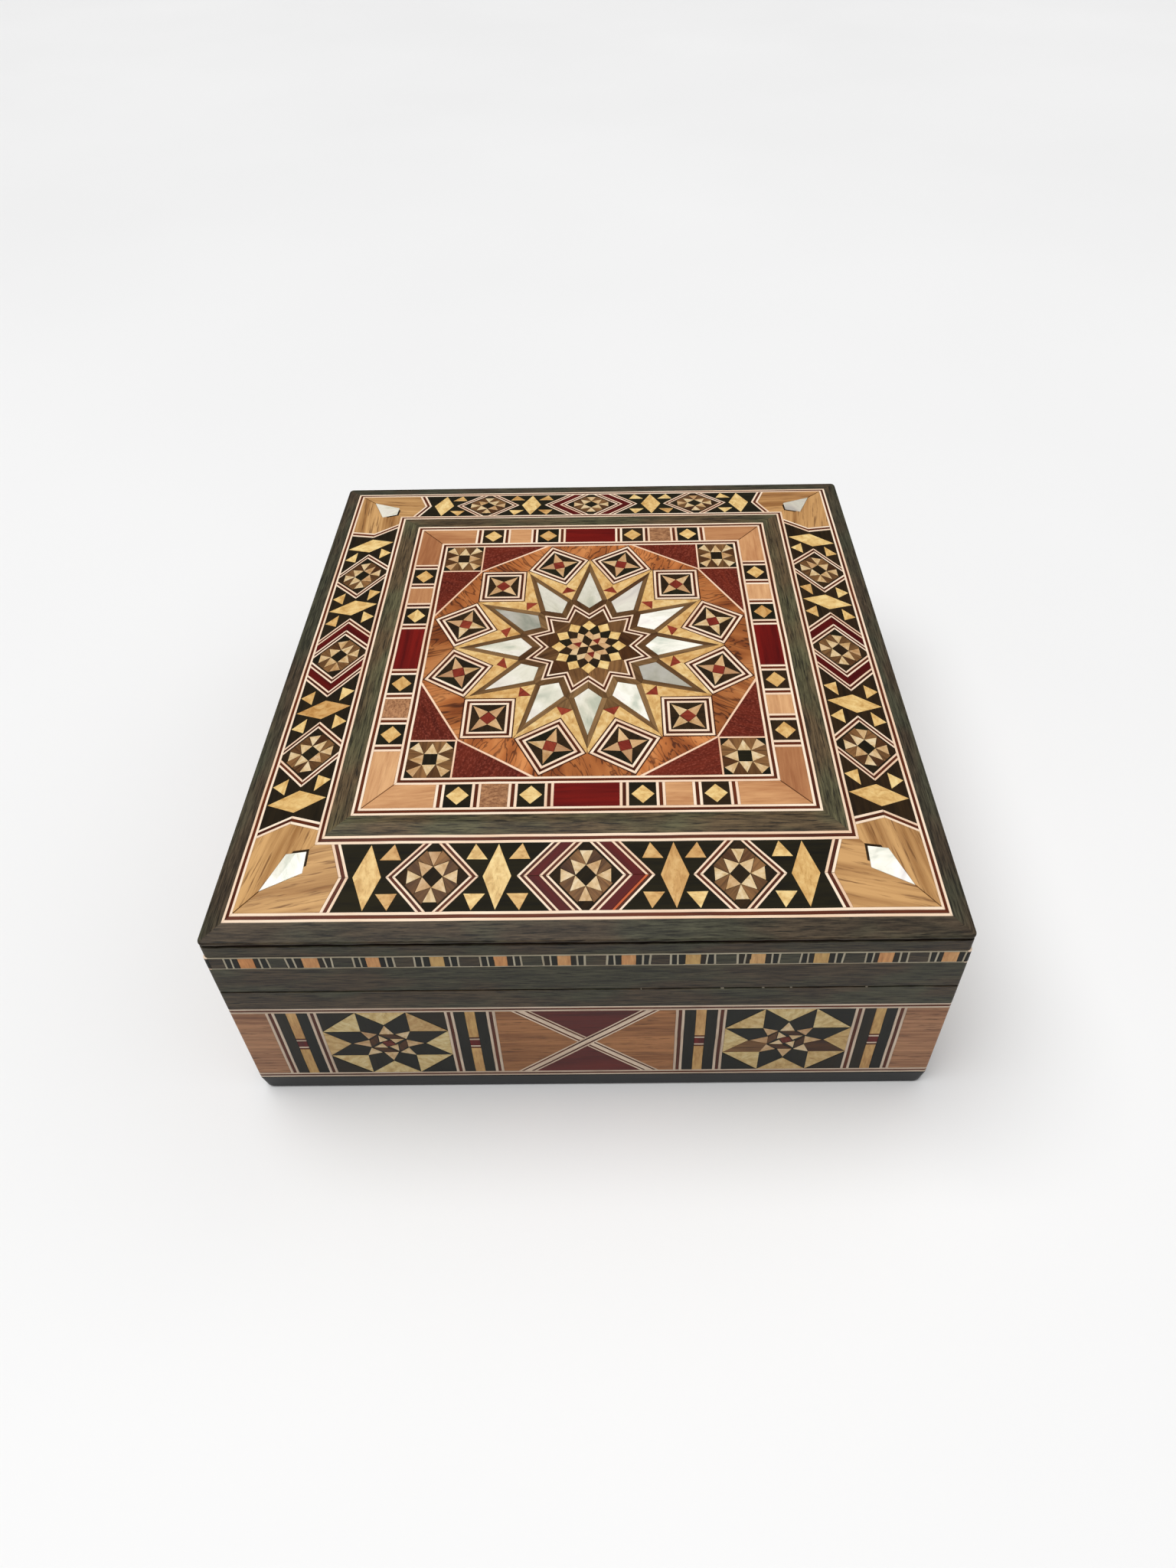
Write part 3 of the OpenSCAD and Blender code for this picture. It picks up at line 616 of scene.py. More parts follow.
MATERIALS = {
    "walnut": walnut("walnut"),
    "olive": olivewood(),
    "pearl": pearl(),
    "brass": brass(),
    "velvet": velvet(),
    "felt": felt(),
    # Rails and boards that are kept from CAD, with the grain along X or along Y
    "walnut_back": walnut("walnut_back", 0.0),
    "carcass_x": carcass("carcass_x", 0.0),
    "carcass_y": carcass("carcass_y", math.pi / 2),
    # Bone: yellow, of the wedges round the pearl, of small triangles and of the side bands
    "bone": bone("bone", (206, 166, 100), (232, 198, 131), (244, 217, 153)),
    "wedge": bone("wedge_bone", (200, 156, 94), (224, 186, 121), (236, 206, 148)),
    "pale_bone": bone("pale_bone", (196, 164, 114), (220, 193, 148), (231, 211, 174)),
    "band_bone": bone("band_bone", (193, 160, 99), (215, 189, 129), (226, 207, 153)),
    # The paler, pinkish bone of the small stars
    "star_bone": wood("star_bone", "bone", (232, 206, 160), (206, 170, 122), 1.5, 0.2, pores=0.2,
                      pore_colour=(150, 110, 80),
                      tones=((0, (206, 180, 172)), (0.5, (244, 226, 214)), (1, 1.0))),
    # Line wood: on the lid, round the bands, and the ticks of the block strip
    "light": wood("line_light", "line_wood", (255, 234, 209), (236, 200, 168), 1.4, 0.06, streaks=0.7,
                  pores=0.15, pore_colour=(190, 120, 90),
                  tones=((0, (255, 238, 228)), (0.5, 1.0), (1, (255, 244, 226)))),
    "dark": wood("line_dark", "wine_wood", (112, 49, 21), (69, 26, 10), 1.4, 0.06, pores=0.4,
                 tones=((0, 0.6), (1, 1.15))),
    "band_line": wood("band_line_wood", "line_wood", (245, 223, 198), (212, 185, 160), 1.6, 0.1,
                      pores=0.3, pore_colour=(130, 100, 80), tones=((0, 0.75), (1, 1.0))),
    "tick": wood("tick_wood", "line_wood", (214, 204, 178), (184, 170, 144), 1.6, 0.1,
                 pores=0.3, pore_colour=(120, 100, 76), tones=((0, 0.72), (1, 1.0))),
    # Blacks: of the sides, of the lid's tiles and of the foot, and the dark line of painted shadow under the
    # lid's cap
    "black": wood("black_wood", "black_wood", (34, 33, 25), (17, 17, 12), 1.6, 0.08, pores=0.3, coat=0.03,
                  tones=((0, (225, 240, 248)), (0.7, 1.05), (1, (2.0, 1.35, 0.95, 1.0)))),
    "ebony": wood("ebony_wood", "black_wood", (40, 30, 15), (21, 15, 6), 1.6, 0.08, pores=0.3,
                  roughness=0.62, coat=0.0,
                  tones=((0, (0.8, 1.1, 1.0, 1.0)), (0.5, 1.0), (1, (2.0, 1.6, 1.4, 1.0)))),
    "foot": wood("foot_wood", "black_wood", (22, 24, 23), (12, 14, 14), 1.2, 0.04, pores=0.4,
                 roughness=0.45, coat=0.25),
    # A dark line of painted shadow, for the shade under the lid's overhanging cap
    "painted_shadow": wood("painted_shadow_line", "black_wood", (44, 22, 16), (12, 8, 7), 0.8, 0.3, coat=0.2),
    # Browns: of rosettes, of the kites' surrounds, of the bands and their ends, and mottled
    "brown": wood("brown_wood", "brown_wood", (146, 104, 62), (89, 57, 32), 1.6, 0.08,
                  tones=((0, (150, 132, 120)), (0.45, 0.7), (1, 1.1))),
    "kite": wood("kite_wood", "brown_wood", (147, 113, 74), (99, 71, 43), 1.5, 0.08, pores=0.4,
                 tones=((0, (170, 150, 140)), (0.5, (226, 220, 210)), (1, 1.05))),
    "band": wood("band_wood", "brown_wood", (183, 126, 80), (134, 85, 50), 1.0, 0.05, streaks=0.4,
                 pores=0.9, dashes=2.8, tones=((0, 0.9), (1, 1.1))),
    "end": wood("end_wood", "brown_wood", (184, 135, 98), (130, 86, 60), 1.0, 0.05, streaks=0.4,
                pores=0.9, dashes=2.8, tones=((0, 0.9), (1, 1.1))),
    "mottled": wood("mottled_wood", "brown_wood", (184, 134, 94), (136, 92, 62), 1.6, 0.45,
                    streaks=0.15, pores=0.6, pore_colour=(108, 68, 44), speckled=True,
                    tones=((0, 0.92), (1, 1.08))),
    # Reds: wine red, its quieter kind in the crossed panels, clear red and brick
    "wine": wood("wine_wood", "wine_wood", (112, 39, 22), (80, 22, 11), 1.6, 0.12, streaks=0.4,
                 pore_colour=(150, 72, 56), speckled=True, tones=((0, 0.85), (1, 1.12))),
    "plum": wood("plum_wood", "wine_wood", (106, 40, 34), (76, 24, 21), 1.3, 0.06, streaks=0.4,
                 pores=0.4, tones=((0, 0.9), (1, 1.1))),
    "red": wood("red_wood", "red_wood", (120, 20, 13), (82, 8, 7), 1.1, 0.05, streaks=0.6, pores=0.35,
                pore_colour=(60, 5, 6), tones=((0, 0.58), (0.35, 0.9), (0.6, 1.0), (1, (255, 200, 190)))),
    "brick": wood("brick_wood", "red_wood", (154, 64, 42), (116, 38, 26), 1.5, 0.1, pores=0.35,
                  tones=((0, (224, 195, 215)), (0.5, 0.95), (1, 1.1))),
    # Light woods: of the inner border, of the corner blocks, of the side strips, and orange
    "light_wood": wood("light_wood", "light_wood", (225, 175, 125), (192, 137, 93), 1.4, 0.1, pores=0.25,
                       pore_colour=(150, 96, 62),
                       tones=((0, (196, 170, 158)), (0.5, (242, 232, 224)), (1, 1.0))),
    "corner": wood("corner_wood", "light_wood", (216, 170, 112), (150, 103, 56), 1.0, 0.04, streaks=0.6,
                   pores=0.8, dashes=1.5, pore_colour=(106, 68, 38), tones=((0, (225, 205, 190)), (1, 1.0))),
    "tan": wood("tan_wood", "light_wood", (228, 178, 122), (192, 136, 86), 1.6, 0.2, streaks=0.4,
                pores=0.3, pore_colour=(150, 96, 56),
                tones=((0, (250, 222, 200)), (0.6, 1.0), (0.85, (238, 250, 232)))),
    "orange": wood("orange_wood", "light_wood", (228, 118, 66), (190, 84, 42), 1.5, 0.1, pores=0.2),
}


# ---- Surfaces that tiles are laid on ----

def place_on_lid(x, y, h):
    return (x, y, lid_height(x, y) + h)


def place_on_side(k):
    def place(x, z, h):
        (px, py), = turned([(x, -HALF - h)], 90 * k)
        return (px, py, z)
    return place


lid = Inlay(place_on_lid, 1.0, {})


def rail_plan(outer, inner):
    return [(-outer, -outer), (outer, -outer), (inner, -inner), (-inner, -inner)]


def lid_lines():
    for k in range(4):
        for outer, inner in ((F1, F2), (F3, F4), (F5, F6), (F7, PANEL)):
            lid.strip("lid_lines", turned(rail_plan(outer, inner), 90 * k), 90 * k)


def wheel_tile(draw, node, cx, cy, spin, half, size, out, reach, band=None):
    """A rosette's square tile of half-width half, turned by spin: a black square, eight bone
    triangles and brown between them. band cuts it to |y - cy| <= band."""
    c, tip, out_a, out_b = 1.35 * size, 4.1 * size, out[0] * size, out[1] * size
    edge = min(half, out_b * reach)
    wide = out_a * 1.04

    def put(part, points, turn=0, grain=0.0, jitter=0.0):
        shape = turned(turned(points, turn), spin)
        if band is not None:
            shape = cut_to_band(shape, band)
        draw(node + part, moved(shape, cx, cy), grain + spin, jitter=jitter)

    put(".black", box_outline(-c, c, -c, c))
    for a in (0, 90, 180, 270):
        put(".bone", [(-c, c), (c, c), (0, tip)], a, 90 + a, 0.05)
        put(".bone", [(c, c), (out_b, out_a), (out_a, out_b)], a, 45 + a, 0.05)
        put(".brown", [(c, c), (out_a, out_b), (wide, edge), (0, edge), (0, tip)], a, 90 + a)
        put(".brown", [(-c, c), (0, tip), (0, edge), (-wide, edge), (-out_a, out_b)], a, 90 + a)
        if half > edge + 0.2:
            put(".black", [(-wide, edge), (wide, edge), (half, half), (-half, half)], a)
        put(".black", [(out_a, out_b), (out_b, out_a), (edge, wide), (half, half), (wide, edge)], a)


# ---- Lid: outer border ----

ROSETTE_HALF = 9.4
ROSETTE_LINE = 1.4 * math.sqrt(2)
ROSETTE_AT = 30.8
CHEVRON = 2.5
RHOMB_HALF = 2.9
RHOMB_AT = (17.8, 43.9)
TRIANGLE_FOOT = 3.35
END_TIP = 47.6
END_LEAN = 2.6
END_LINE = 2.0
END = END_TIP + END_LINE
PEARL = (57.1, 61.5, 65.1)
PEARL_EDGE = 0.55
MITRE = 0.13


def border_side(k):
    draw = lid.pen(90 * k, 0, -BORDER_MID)

    def ring(x, a, b, name="border_tile_frames", plies=3, stained=False):
        """A diamond ring round x, from half-length a in to b: in plies, or in one wood when plies
        is 1. One ply of a stained ring is orange on its front right arm."""
        for i in range(plies):
            a1, b1 = a + (b - a) * i / plies, a + (b - a) * (i + 1) / plies
            for q in range(4):
                arm = turned([(a1, 0), (0, a1), (0, b1), (b1, 0)], 90 * q)
                part = PLY_PARTS[i % 2] if plies > 1 else ""
                if stained and (i, q) == (2, 3):
                    part = ".orange"
                draw(name + part, moved(cut_to_band(arm, BORDER_HALF), x, 0), straight(arm),
                     0.4 if plies > 1 else 0.0)

    lean = END + END_LEAN
    draw("border_black_ground", [
        (-END, 0), (-lean, -BORDER_HALF), (lean, -BORDER_HALF),
        (END, 0), (lean, BORDER_HALF), (-lean, BORDER_HALF),
    ], drop=0.03)
    rosette = ROSETTE_HALF - ROSETTE_LINE
    for x in (-ROSETTE_AT, 0, ROSETTE_AT):
        ring(x, ROSETTE_HALF, rosette)
        wheel_tile(draw, "border_rosette_tiles", x, 0, 45, rosette / math.sqrt(2), 1.1,
                   (2.35, 4.15), 1.08, BORDER_HALF)
    chevron = ROSETTE_HALF + CHEVRON
    ring(0, chevron, ROSETTE_HALF, "border_red_chevrons", 1)
    ring(0, chevron + ROSETTE_LINE, chevron, stained=k == 0)
    high_y = BORDER_HALF - 0.15
    for s in (-1, 1):
        for x, ways in zip(RHOMB_AT, ((-1, 1), (-s,))):
            x *= s
            rhomb = [(x - RHOMB_HALF, 0), (x, -high_y), (x + RHOMB_HALF, 0), (x, high_y)]
            draw("border_rhombs", rhomb, 90)
            for way in ways:
                for up in (-1, 1):
                    foot = up * TRIANGLE_FOOT
                    draw("border_rhombs", [(x + way * 2.1, foot), (x + way * 6.5, foot),
                                           (x + way * 4.8, up * high_y)], jitter=0.06)
        for up in (-1, 1):
            quad = [(s * END_TIP, 0), (s * (END_TIP + END_LEAN), up * BORDER_HALF),
                    (s * lean, up * BORDER_HALF), (s * END, 0)]
            lid.strip("border_tile_frames", turned(moved(quad, 0, -BORDER_MID), 90 * k),
                      straight(quad) + 90 * k)
        corner_half(k, s)


def corner_half(k, s):
    """One mitred half of a corner block; the right one adds the pearl and its black edge."""
    p0, p1, p2 = PEARL
    outline = [
        (END + END_LEAN, -F3), (END, -BORDER_MID), (END + END_LEAN, -F2), (F2 - MITRE, -F2),
        (p2 - MITRE, -p2), (p0, -p1), (p0, -p0), (F3, -F3),
    ]
    draw = lid.pen(90 * k)
    draw("corner_blocks", [(s * x, y) for x, y in outline], rng.uniform(3, 12) * -s)
    if s > 0:
        kite = [(p0, -p0), (p0, -p1), (p2, -p2), (p1, -p0)]
        draw("corner_pearls", kite, 45, (1.0, 0.3, 0.6, 1.0)[k], -0.01)
        out = p0 - PEARL_EDGE
        for shape in ([(out, -out), (p0, -p0), (p0, -p1 + 1.2), (out, -p1 + 1.4)],
                      [(out, -out), (p1 - 1.4, -out), (p1 - 1.2, -p0), (p0, -p0)]):
            draw("corner_pearls.black", shape, -90 * k, drop=-0.02)


# ---- Lid: inner border ----

RED_HALF = 7.0
RED_TINTS = (0.45, 0.7, 0.4, 0.55)
CELL = 5.8
CELL_LINE = 2.0
MOTTLED = ((0, -1), (2, -1), (3, 1))


def inner_side(k):
    draw = lid.pen(90 * k)
    draw("inner_red_blocks", box_outline(-RED_HALF, RED_HALF, -F6, -F7), 0, RED_TINTS[k])
    mid = -(F6 + F7) / 2
    pitch = CELL + CELL_LINE
    for s in (-1, 1):
        for i in range(4):
            x0 = s * (RED_HALF + i * pitch)
            x1 = x0 + s * CELL_LINE
            quad = turned([(x0, -F6), (x0, -F7), (x1, -F7), (x1, -F6)], 90 * k)
            lid.strip("inner_border_lines", quad, 90 + 90 * k)
            cell = box_outline(*sorted((x1, x1 + s * CELL)), -F6, -F7)
            if i == 1:
                draw("inner_wood_blocks.mottled" if (k, s) in MOTTLED else "inner_wood_blocks", cell)
            elif i < 3:
                x = x1 + s * CELL / 2
                draw("inner_diamond_tiles", cell, drop=0.02)
                diamond = [(x - 2.5, mid), (x, mid - 2.4), (x + 2.5, mid), (x, mid + 2.4)]
                draw("inner_diamond_tiles.bone", diamond, jitter=0.06)
        last = RED_HALF + 3 * pitch + CELL_LINE
        block = [(s * last, -F6), (s * (F6 - MITRE), -F6), (s * (F7 - MITRE), -F7), (s * last, -F7)]
        draw("inner_wood_blocks", block, rng.uniform(-6, 6))


# ---- Lid: centre panel ----

POINTS = 12
STEP = 360 / POINTS
TILE_R = 0.817 * PANEL
TILE_HALF = 0.2156 * PANEL
ZIG_TIP = 0.405 * PANEL
ZIG_VALLEY = 0.298 * PANEL
ZIG_INNER = 0.834
KITE_OUT = (0.812 * PANEL, 0)
KITE_SIDE = polar(0.447 * PANEL, STEP / 2)
KITE_HEEL = polar(ZIG_TIP, STEP / 2)
KITE_IN = (ZIG_VALLEY, 0)
PEARL_OUT = (0.714 * PANEL, 0)
PEARL_SIDE = polar(0.4365 * PANEL, 10.85)
PEARL_IN = (0.353 * PANEL, 0)
DART_BASE = between(KITE_OUT, KITE_SIDE, 0.765)
DART_TIP = polar((TILE_R - TILE_HALF) * 0.969, STEP / 2)
TILE_IN = polar(TILE_R - TILE_HALF, STEP / 2)
TILE_OUT = polar(TILE_R + TILE_HALF, STEP / 2)
TILE_SIDE = moved([polar(TILE_R, STEP / 2)], *polar(TILE_HALF, STEP / 2 - 90))[0]
OCT_HALF = 0.285 * PANEL
OCT_CORNER = 0.731 * PANEL
THIN = 0.45
PEARL_TONES = (1.0, 0.95, 0.5, 0.45, 0.5, 0.15, 0.65, 0.7, 0.75, 0.6, 0.95, 0.05)
BROWN_GAPS = (8, 9)
CORE_TONES = (0.05, 0.4, 0.15, 0.15, 0.25, 0.0, 0.45, 0.0, 0.55, 1.0, 0.65, 0.0)


def over(points):
    """Mirror image in the radial line at half a step."""
    return turned(flipped(turned(points, -STEP / 2)), STEP / 2)


def inside_octagon(points):
    for q in range(4):
        nx, ny = (round(v) for v in polar(1, 90 * q))
        points = clipped(points, nx, ny, PANEL)
    corner = (OCT_CORNER, OCT_CORNER)
    for q in range(4):
        for pair in (((PANEL, OCT_HALF), corner), (corner, (OCT_HALF, PANEL))):
            (ax, ay), (bx, by) = turned(pair, 90 * q)
            nx, ny = by - ay, ax - bx
            points = clipped(points, nx, ny, nx * ax + ny * ay)
    return points


def diamond_tile(angle):
    """One diamond tile: dark and light frames, and a bone star with a red middle on black."""
    def put(part, points, turn=0, grain=0.0, tint=None, drop=0.0, jitter=0.0):
        shape = turned(moved(turned(points, turn + 45), TILE_R, 0), angle)
        lid.tile("panel_diamond_tiles" + part, shape, grain + turn + 45 + angle, tint, drop, jitter)

    s = TILE_HALF / math.sqrt(2)
    sizes = (s, s - 0.25, s - 0.85, s - 1.45, s - 2.05)
    for i, (a, b) in enumerate(zip(sizes, sizes[1:])):
        for q in range(4):
            put(".light" if i % 2 else ".dark", rail_plan(a, b), 90 * q, 0, 0.5 if i % 2 else 0.0)
    field = sizes[-1]
    for q in range(4):
        put("", [(field, -field), (field, field), (0, 0)], 90 * q, 0, rng.choice((0.1, 0.5, 0.8, 0.95)), 0.02)
    r, t = 0.47 * field, 0.93 * field
    put(".red", [(r, 0), (0, r), (-r, 0), (0, -r)], tint=rng.uniform(0, 0.5), jitter=0.05)
    for q in range(4):
        part = ".yellow" if rng.random() < 0.4 else ".bone"
        put(part, [(r, 0), (t, t), (0, r)], 90 * q, 45, rng.uniform(0, 0.6), jitter=0.04)


def star_panel():
    for i in range(POINTS):
        a = i * STEP
        draw = lid.pen(a)
        outer = [(KITE_OUT[0] + 0.25, 0), TILE_SIDE, TILE_OUT, polar(2 * PANEL, STEP / 2)]
        lobe = outer + flipped(outer[:0:-1])
        grain = a + rng.uniform(-22, 22)
        lid.tile("olivewood_field", inside_octagon(turned(lobe, a)), grain, rng.random())
        for side in (1, -1):
            flank = [(x, side * y) for x, y in (KITE_OUT, KITE_SIDE, PEARL_SIDE, PEARL_OUT)]
            heel = [(x, side * y) for x, y in (KITE_SIDE, KITE_HEEL, KITE_IN, PEARL_IN, PEARL_SIDE)]
            draw("kite_surrounds", flank, straight(flank), rng.choice((0.1, 0.3, 0.5, 0.9)))
            draw("kite_surrounds", heel, straight(heel), rng.choice((0.05, 0.2, 0.4, 0.7)))
        draw("pearl_kites", [PEARL_OUT, PEARL_SIDE, PEARL_IN, *flipped([PEARL_SIDE])], 0, PEARL_TONES[i])
        wedge = [DART_BASE, KITE_OUT, TILE_SIDE, TILE_IN, DART_TIP]
        for shape in (wedge, over(wedge)):
            draw("bone_wedges", shape, straight(shape), rng.uniform(0.35, 1))
        far_base, = over([DART_BASE])
        draw("kite_surrounds" if i in BROWN_GAPS else "bone_wedges", [KITE_SIDE, DART_BASE, far_base],
             15, rng.uniform(0.2, 0.8))
        draw("red_darts", [DART_BASE, DART_TIP, far_base], 15, rng.uniform(0.5, 0.9), jitter=0.04)
        diamond_tile(a + STEP / 2)
        for side in (1, -1):
            line = [KITE_IN, (KITE_HEEL[0], side * KITE_HEEL[1])]
            inner = [(x * ZIG_INNER, y * ZIG_INNER) for x, y in line]
            quad = turned(line + inner[::-1], a)
            lid.strip("zigzag_line", quad, straight(quad), (0.5, 0.0))


def octagon_corners():
    """Wine-red triangles, corner rosettes and the thin light lines between them."""
    def across(points):
        return [(-y, -x) for x, y in points]

    rosette = OCT_CORNER + 1.4 * THIN
    wine_x = OCT_HALF + 2.4 * THIN
    line_x = rosette - THIN
    elbow = (line_x, -OCT_CORNER - THIN)
    corner = (OCT_CORNER, -OCT_CORNER)
    wine = [(wine_x, -PANEL), (line_x, -PANEL), elbow]
    line = [(OCT_HALF, -PANEL), (wine_x, -PANEL), elbow, corner]
    upright = [(line_x, -PANEL), (rosette, -PANEL), (rosette, -rosette), elbow]
    c = (rosette + PANEL) / 2
    for k in range(4):
        draw = lid.pen(90 * k)
        wheel_tile(draw, "panel_corner_rosettes", c, -c, 0, (PANEL - rosette) / 2, 1.12, (2.75, 4.3), 1.2)
        draw("panel_wine_triangles", wine, 20)
        draw("panel_wine_triangles", across(wine), -20)
        for shape in (line, across(line), upright, across(upright)):
            draw("panel_thin_lines", shape, straight([shape[0], shape[3]]), 0.1)
        draw("panel_thin_lines", [corner, elbow, (rosette, -rosette), (OCT_CORNER + THIN, THIN - rosette)],
             45, 0.1)


def core():
    """The rosette inside the zigzag line, a slice of a glued bundle of small rods. Its heart is
    three turns of a red triangle with pale rods round it and a dark rod beside it."""
    tip, valley = ZIG_TIP * ZIG_INNER, ZIG_VALLEY * ZIG_INNER
    out, near = 0.94 * valley, 0.57 * valley
    half = STEP / 2
    side = polar(0.765 * valley, half - 1.6)
    far_side, = over([side])
    low_side, = flipped([side])
    knee = 0.745 * near
    elbows = polar(0.415 * near, 18), polar(0.415 * near, 68)
    for i in range(POINTS):
        a = i * STEP

        def put(part, points, tint, jitter=0.0):
            lid.tile("core_rosette" + part, turned(points, a), rng.uniform(0, 180), tint, 0.0, jitter)

        put(".brown", [(out, 0), (valley, 0), polar(tip, half), polar(valley, STEP), polar(out, STEP),
                       far_side, side], CORE_TONES[i])
        put(".bone", [(out, 0), side, (near, 0), low_side], rng.uniform(0.45, 1), 0.05)
        put("", [side, far_side, polar(near, STEP), polar(knee, half), (near, 0)],
            rng.choice((0.2, 0.6, 0.9, 1.0)), 0.02)
        elbow, = turned([elbows[i % 4 // 2]], -(i % 4) * STEP)
        put(".star", [(near * 0.98, 0), polar(knee, half), elbow, polar(knee, -half)],
            rng.choice((0.4, 0.7, 1.0)))
    for a in (0, 120, 240):
        first, second = turned(elbows, a)
        before, = turned(elbows[1:], a - 120)
        lid.tile("core_rosette.red", [polar(knee, a + 45), second, first], 0, 0.1)
        lid.tile("core_rosette.star", [(0, 0), first, second], 0, 0.6)
        lid.tile("core_rosette", [(0, 0), before, polar(knee, a - 15), first], 0, 0.9)


# ---- Lid: little blocks on its sides ----

STRIP_PITCH = 12.53
STRIP_PHASE = -4.26
STRIP_LINE = 0.32
STRIP_UNIT = (
    ("blocks", 2.8), ("dark", 1.05), ("ticks", 0.38), ("dark", 1.0), ("ticks", 0.42),
    ("middle", 3.5), ("ticks", 0.42), ("dark", 1.0), ("ticks", 0.38), ("dark", 1.05),
)
STRIP_TINTS = {"middle": 0.0, "ticks": 0.35}
STRIP_END = HALF - 0.9
STRIP_IN = (STRIP_Z + STRIP_LINE, EDGE_Z - STRIP_LINE)


def strip_side(k, sheet):
    z0, z1 = STRIP_IN
    for line in ((STRIP_Z, z0), (z1, EDGE_Z)):
        sheet.tile("lid_side_strips.light", box_outline(-STRIP_END, STRIP_END, *line), 0, 0.4)
    start = STRIP_PHASE - STRIP_UNIT[0][1] / 2 - 7 * STRIP_PITCH + 3.1 * k
    total = sum(width for _, width in STRIP_UNIT)
    while start < STRIP_END:
        x = start
        for name, width in STRIP_UNIT:
            w = width * STRIP_PITCH / total * rng.uniform(0.9, 1.1)
            x0, x1 = max(x, -STRIP_END), min(x + w, STRIP_END)
            if x1 - x0 > 0.15:
                lean = rng.uniform(-0.1, 0.1) if name == "ticks" else 0.0
                block = [(x0 - lean, z0), (x1 - lean, z0), (x1 + lean, z1), (x0 + lean, z1)]
                sheet.tile("lid_side_strips." + name, block, 0 if name == "middle" else 90,
                           STRIP_TINTS.get(name))
            x += w
        start += STRIP_PITCH
    sheet.tile("lid_side_strips.dark", box_outline(-STRIP_END, STRIP_END, z0, z1), 0, 0.2, 0.06)


# ---- Base: marquetry band on each side ----

CROSS_HALF = 19.6
FRONT_SHORT = 1.5
UPRIGHT = 1.9
BLACK_W = 2.35
YELLOW_W = 2.15
STUD_H = 2.4
STUD_LINE = 0.6
GROUP = 2 * UPRIGHT + 2 * BLACK_W + YELLOW_W
END_X = CROSS_HALF + GROUP + BAND_H + GROUP
CROSS_PLIES = (0.42, 0.42, 1.15, 0.42, 0.42)
CROSS_TINTS = (1.0, 0.4)
STAR_UNITS = 13.35


def bar_group(sheet, x, s):
    def put(name, x0, x1, z0=BAND_Z, z1=BAND_TOP, tint=None, grain=90):
        sheet.tile(name, box_outline(*sorted((s * x0, s * x1)), z0, z1), grain, tint)

    for x0 in (x, x + GROUP - UPRIGHT):
        x1 = x0 + UPRIGHT
        quad = [(s * x0, BAND_Z), (s * x0, BAND_TOP), (s * x1, BAND_TOP), (s * x1, BAND_Z)]
        sheet.strip("band_upright_lines", quad, 90, (0.4, 0.4))
    a = x + UPRIGHT
    b = a + BLACK_W
    c = b + YELLOW_W
    put("band_black_bars", a, b)
    put("band_black_bars", c, c + BLACK_W)
    stud = STUD_H / 2
    levels = (stud, stud + STUD_LINE, stud + 2 * STUD_LINE, BAND_H / 2)
    for up in (-1, 1):
        ends = [BAND_MID + up * v for v in levels]
        put("band_red_studs.light", b, c, *sorted(ends[0:2]), tint=0.4, grain=0)
        put("band_red_studs.dark", b, c, *sorted(ends[1:3]), tint=0.4, grain=0)
        put("band_yellow_bars", b, c, *sorted(ends[2:4]), tint=rng.uniform(0.6, 0.95))
    put("band_red_studs", b, c, BAND_MID - stud, BAND_MID + stud, tint=0.4)


def star_tile(sheet, cx):
    """An eight-pointed star: big bone and black points, small bone points and a pinwheel. It is
    drawn STAR_UNITS to its half-width."""
    k = BAND_H / 2 / STAR_UNITS
    h, notch, tip, small, cut = STAR_UNITS, 5.3, 8.1, 7.7, 5.65

    def put(part, points, turn=0, grain=0.0, tint=None, drop=0.0, jitter=0.0):
        shape = [(x * k, y * k) for x, y in turned(points, turn)]
        sheet.tile("band_star_tiles" + part, moved(shape, cx, BAND_MID), grain, tint, drop, jitter)

    corner_base = turned([(4.25, 1.5), (4.25, -1.5)], 45)
    side_base = [(1.6, 4.0), (-1.6, 4.0)]
    petal = [(0, tip), (0, small), side_base[0], corner_base[0], (notch, notch), (notch, h)]
    for a in (0, 90, 180, 270):
        put(".bone", [(-notch, h), (0, tip), (notch, h)], a, 90 + a)
        put(".bone", [(notch, h), (notch, notch), (h, notch)], a, 45 + a)
        put("", [(cut, h), (h, cut), (h, h)], a, a)
        put("", [(notch, h), (cut, h), (h, cut), (h, notch)], a, a)
        put(".star", [side_base[1], (0, small), side_base[0]], a, 90 + a, jitter=0.04)
        put(".star", [corner_base[0], (notch, notch), corner_base[1]], a, 45 + a, jitter=0.04)
        for shape in (petal, [(-x, y) for x, y in petal]):
            part = ".brown" if rng.random() < 0.05 else ""
            put(part, shape, a, 90 + a, rng.choice((0, 0.2, 0.7)))
        put(".brown", [(-1.65, 3.95), (1.35, 4.0), (3.75, 2.0), (0.55, 2.1)], a, a + 20, 0.05)
        put(".star", [(0.5, 1.95), (3.5, 1.8), (1.45, 0.0)], a, a, 0.5, jitter=0.03)
    put(".red", [(1.5, 0), (0, 1.5), (-1.5, 0), (0, -1.5)], 68, 20, 0.2)
    put("", box_outline(-h, h, -h, h), 0, 0, 0.2, 0.05)


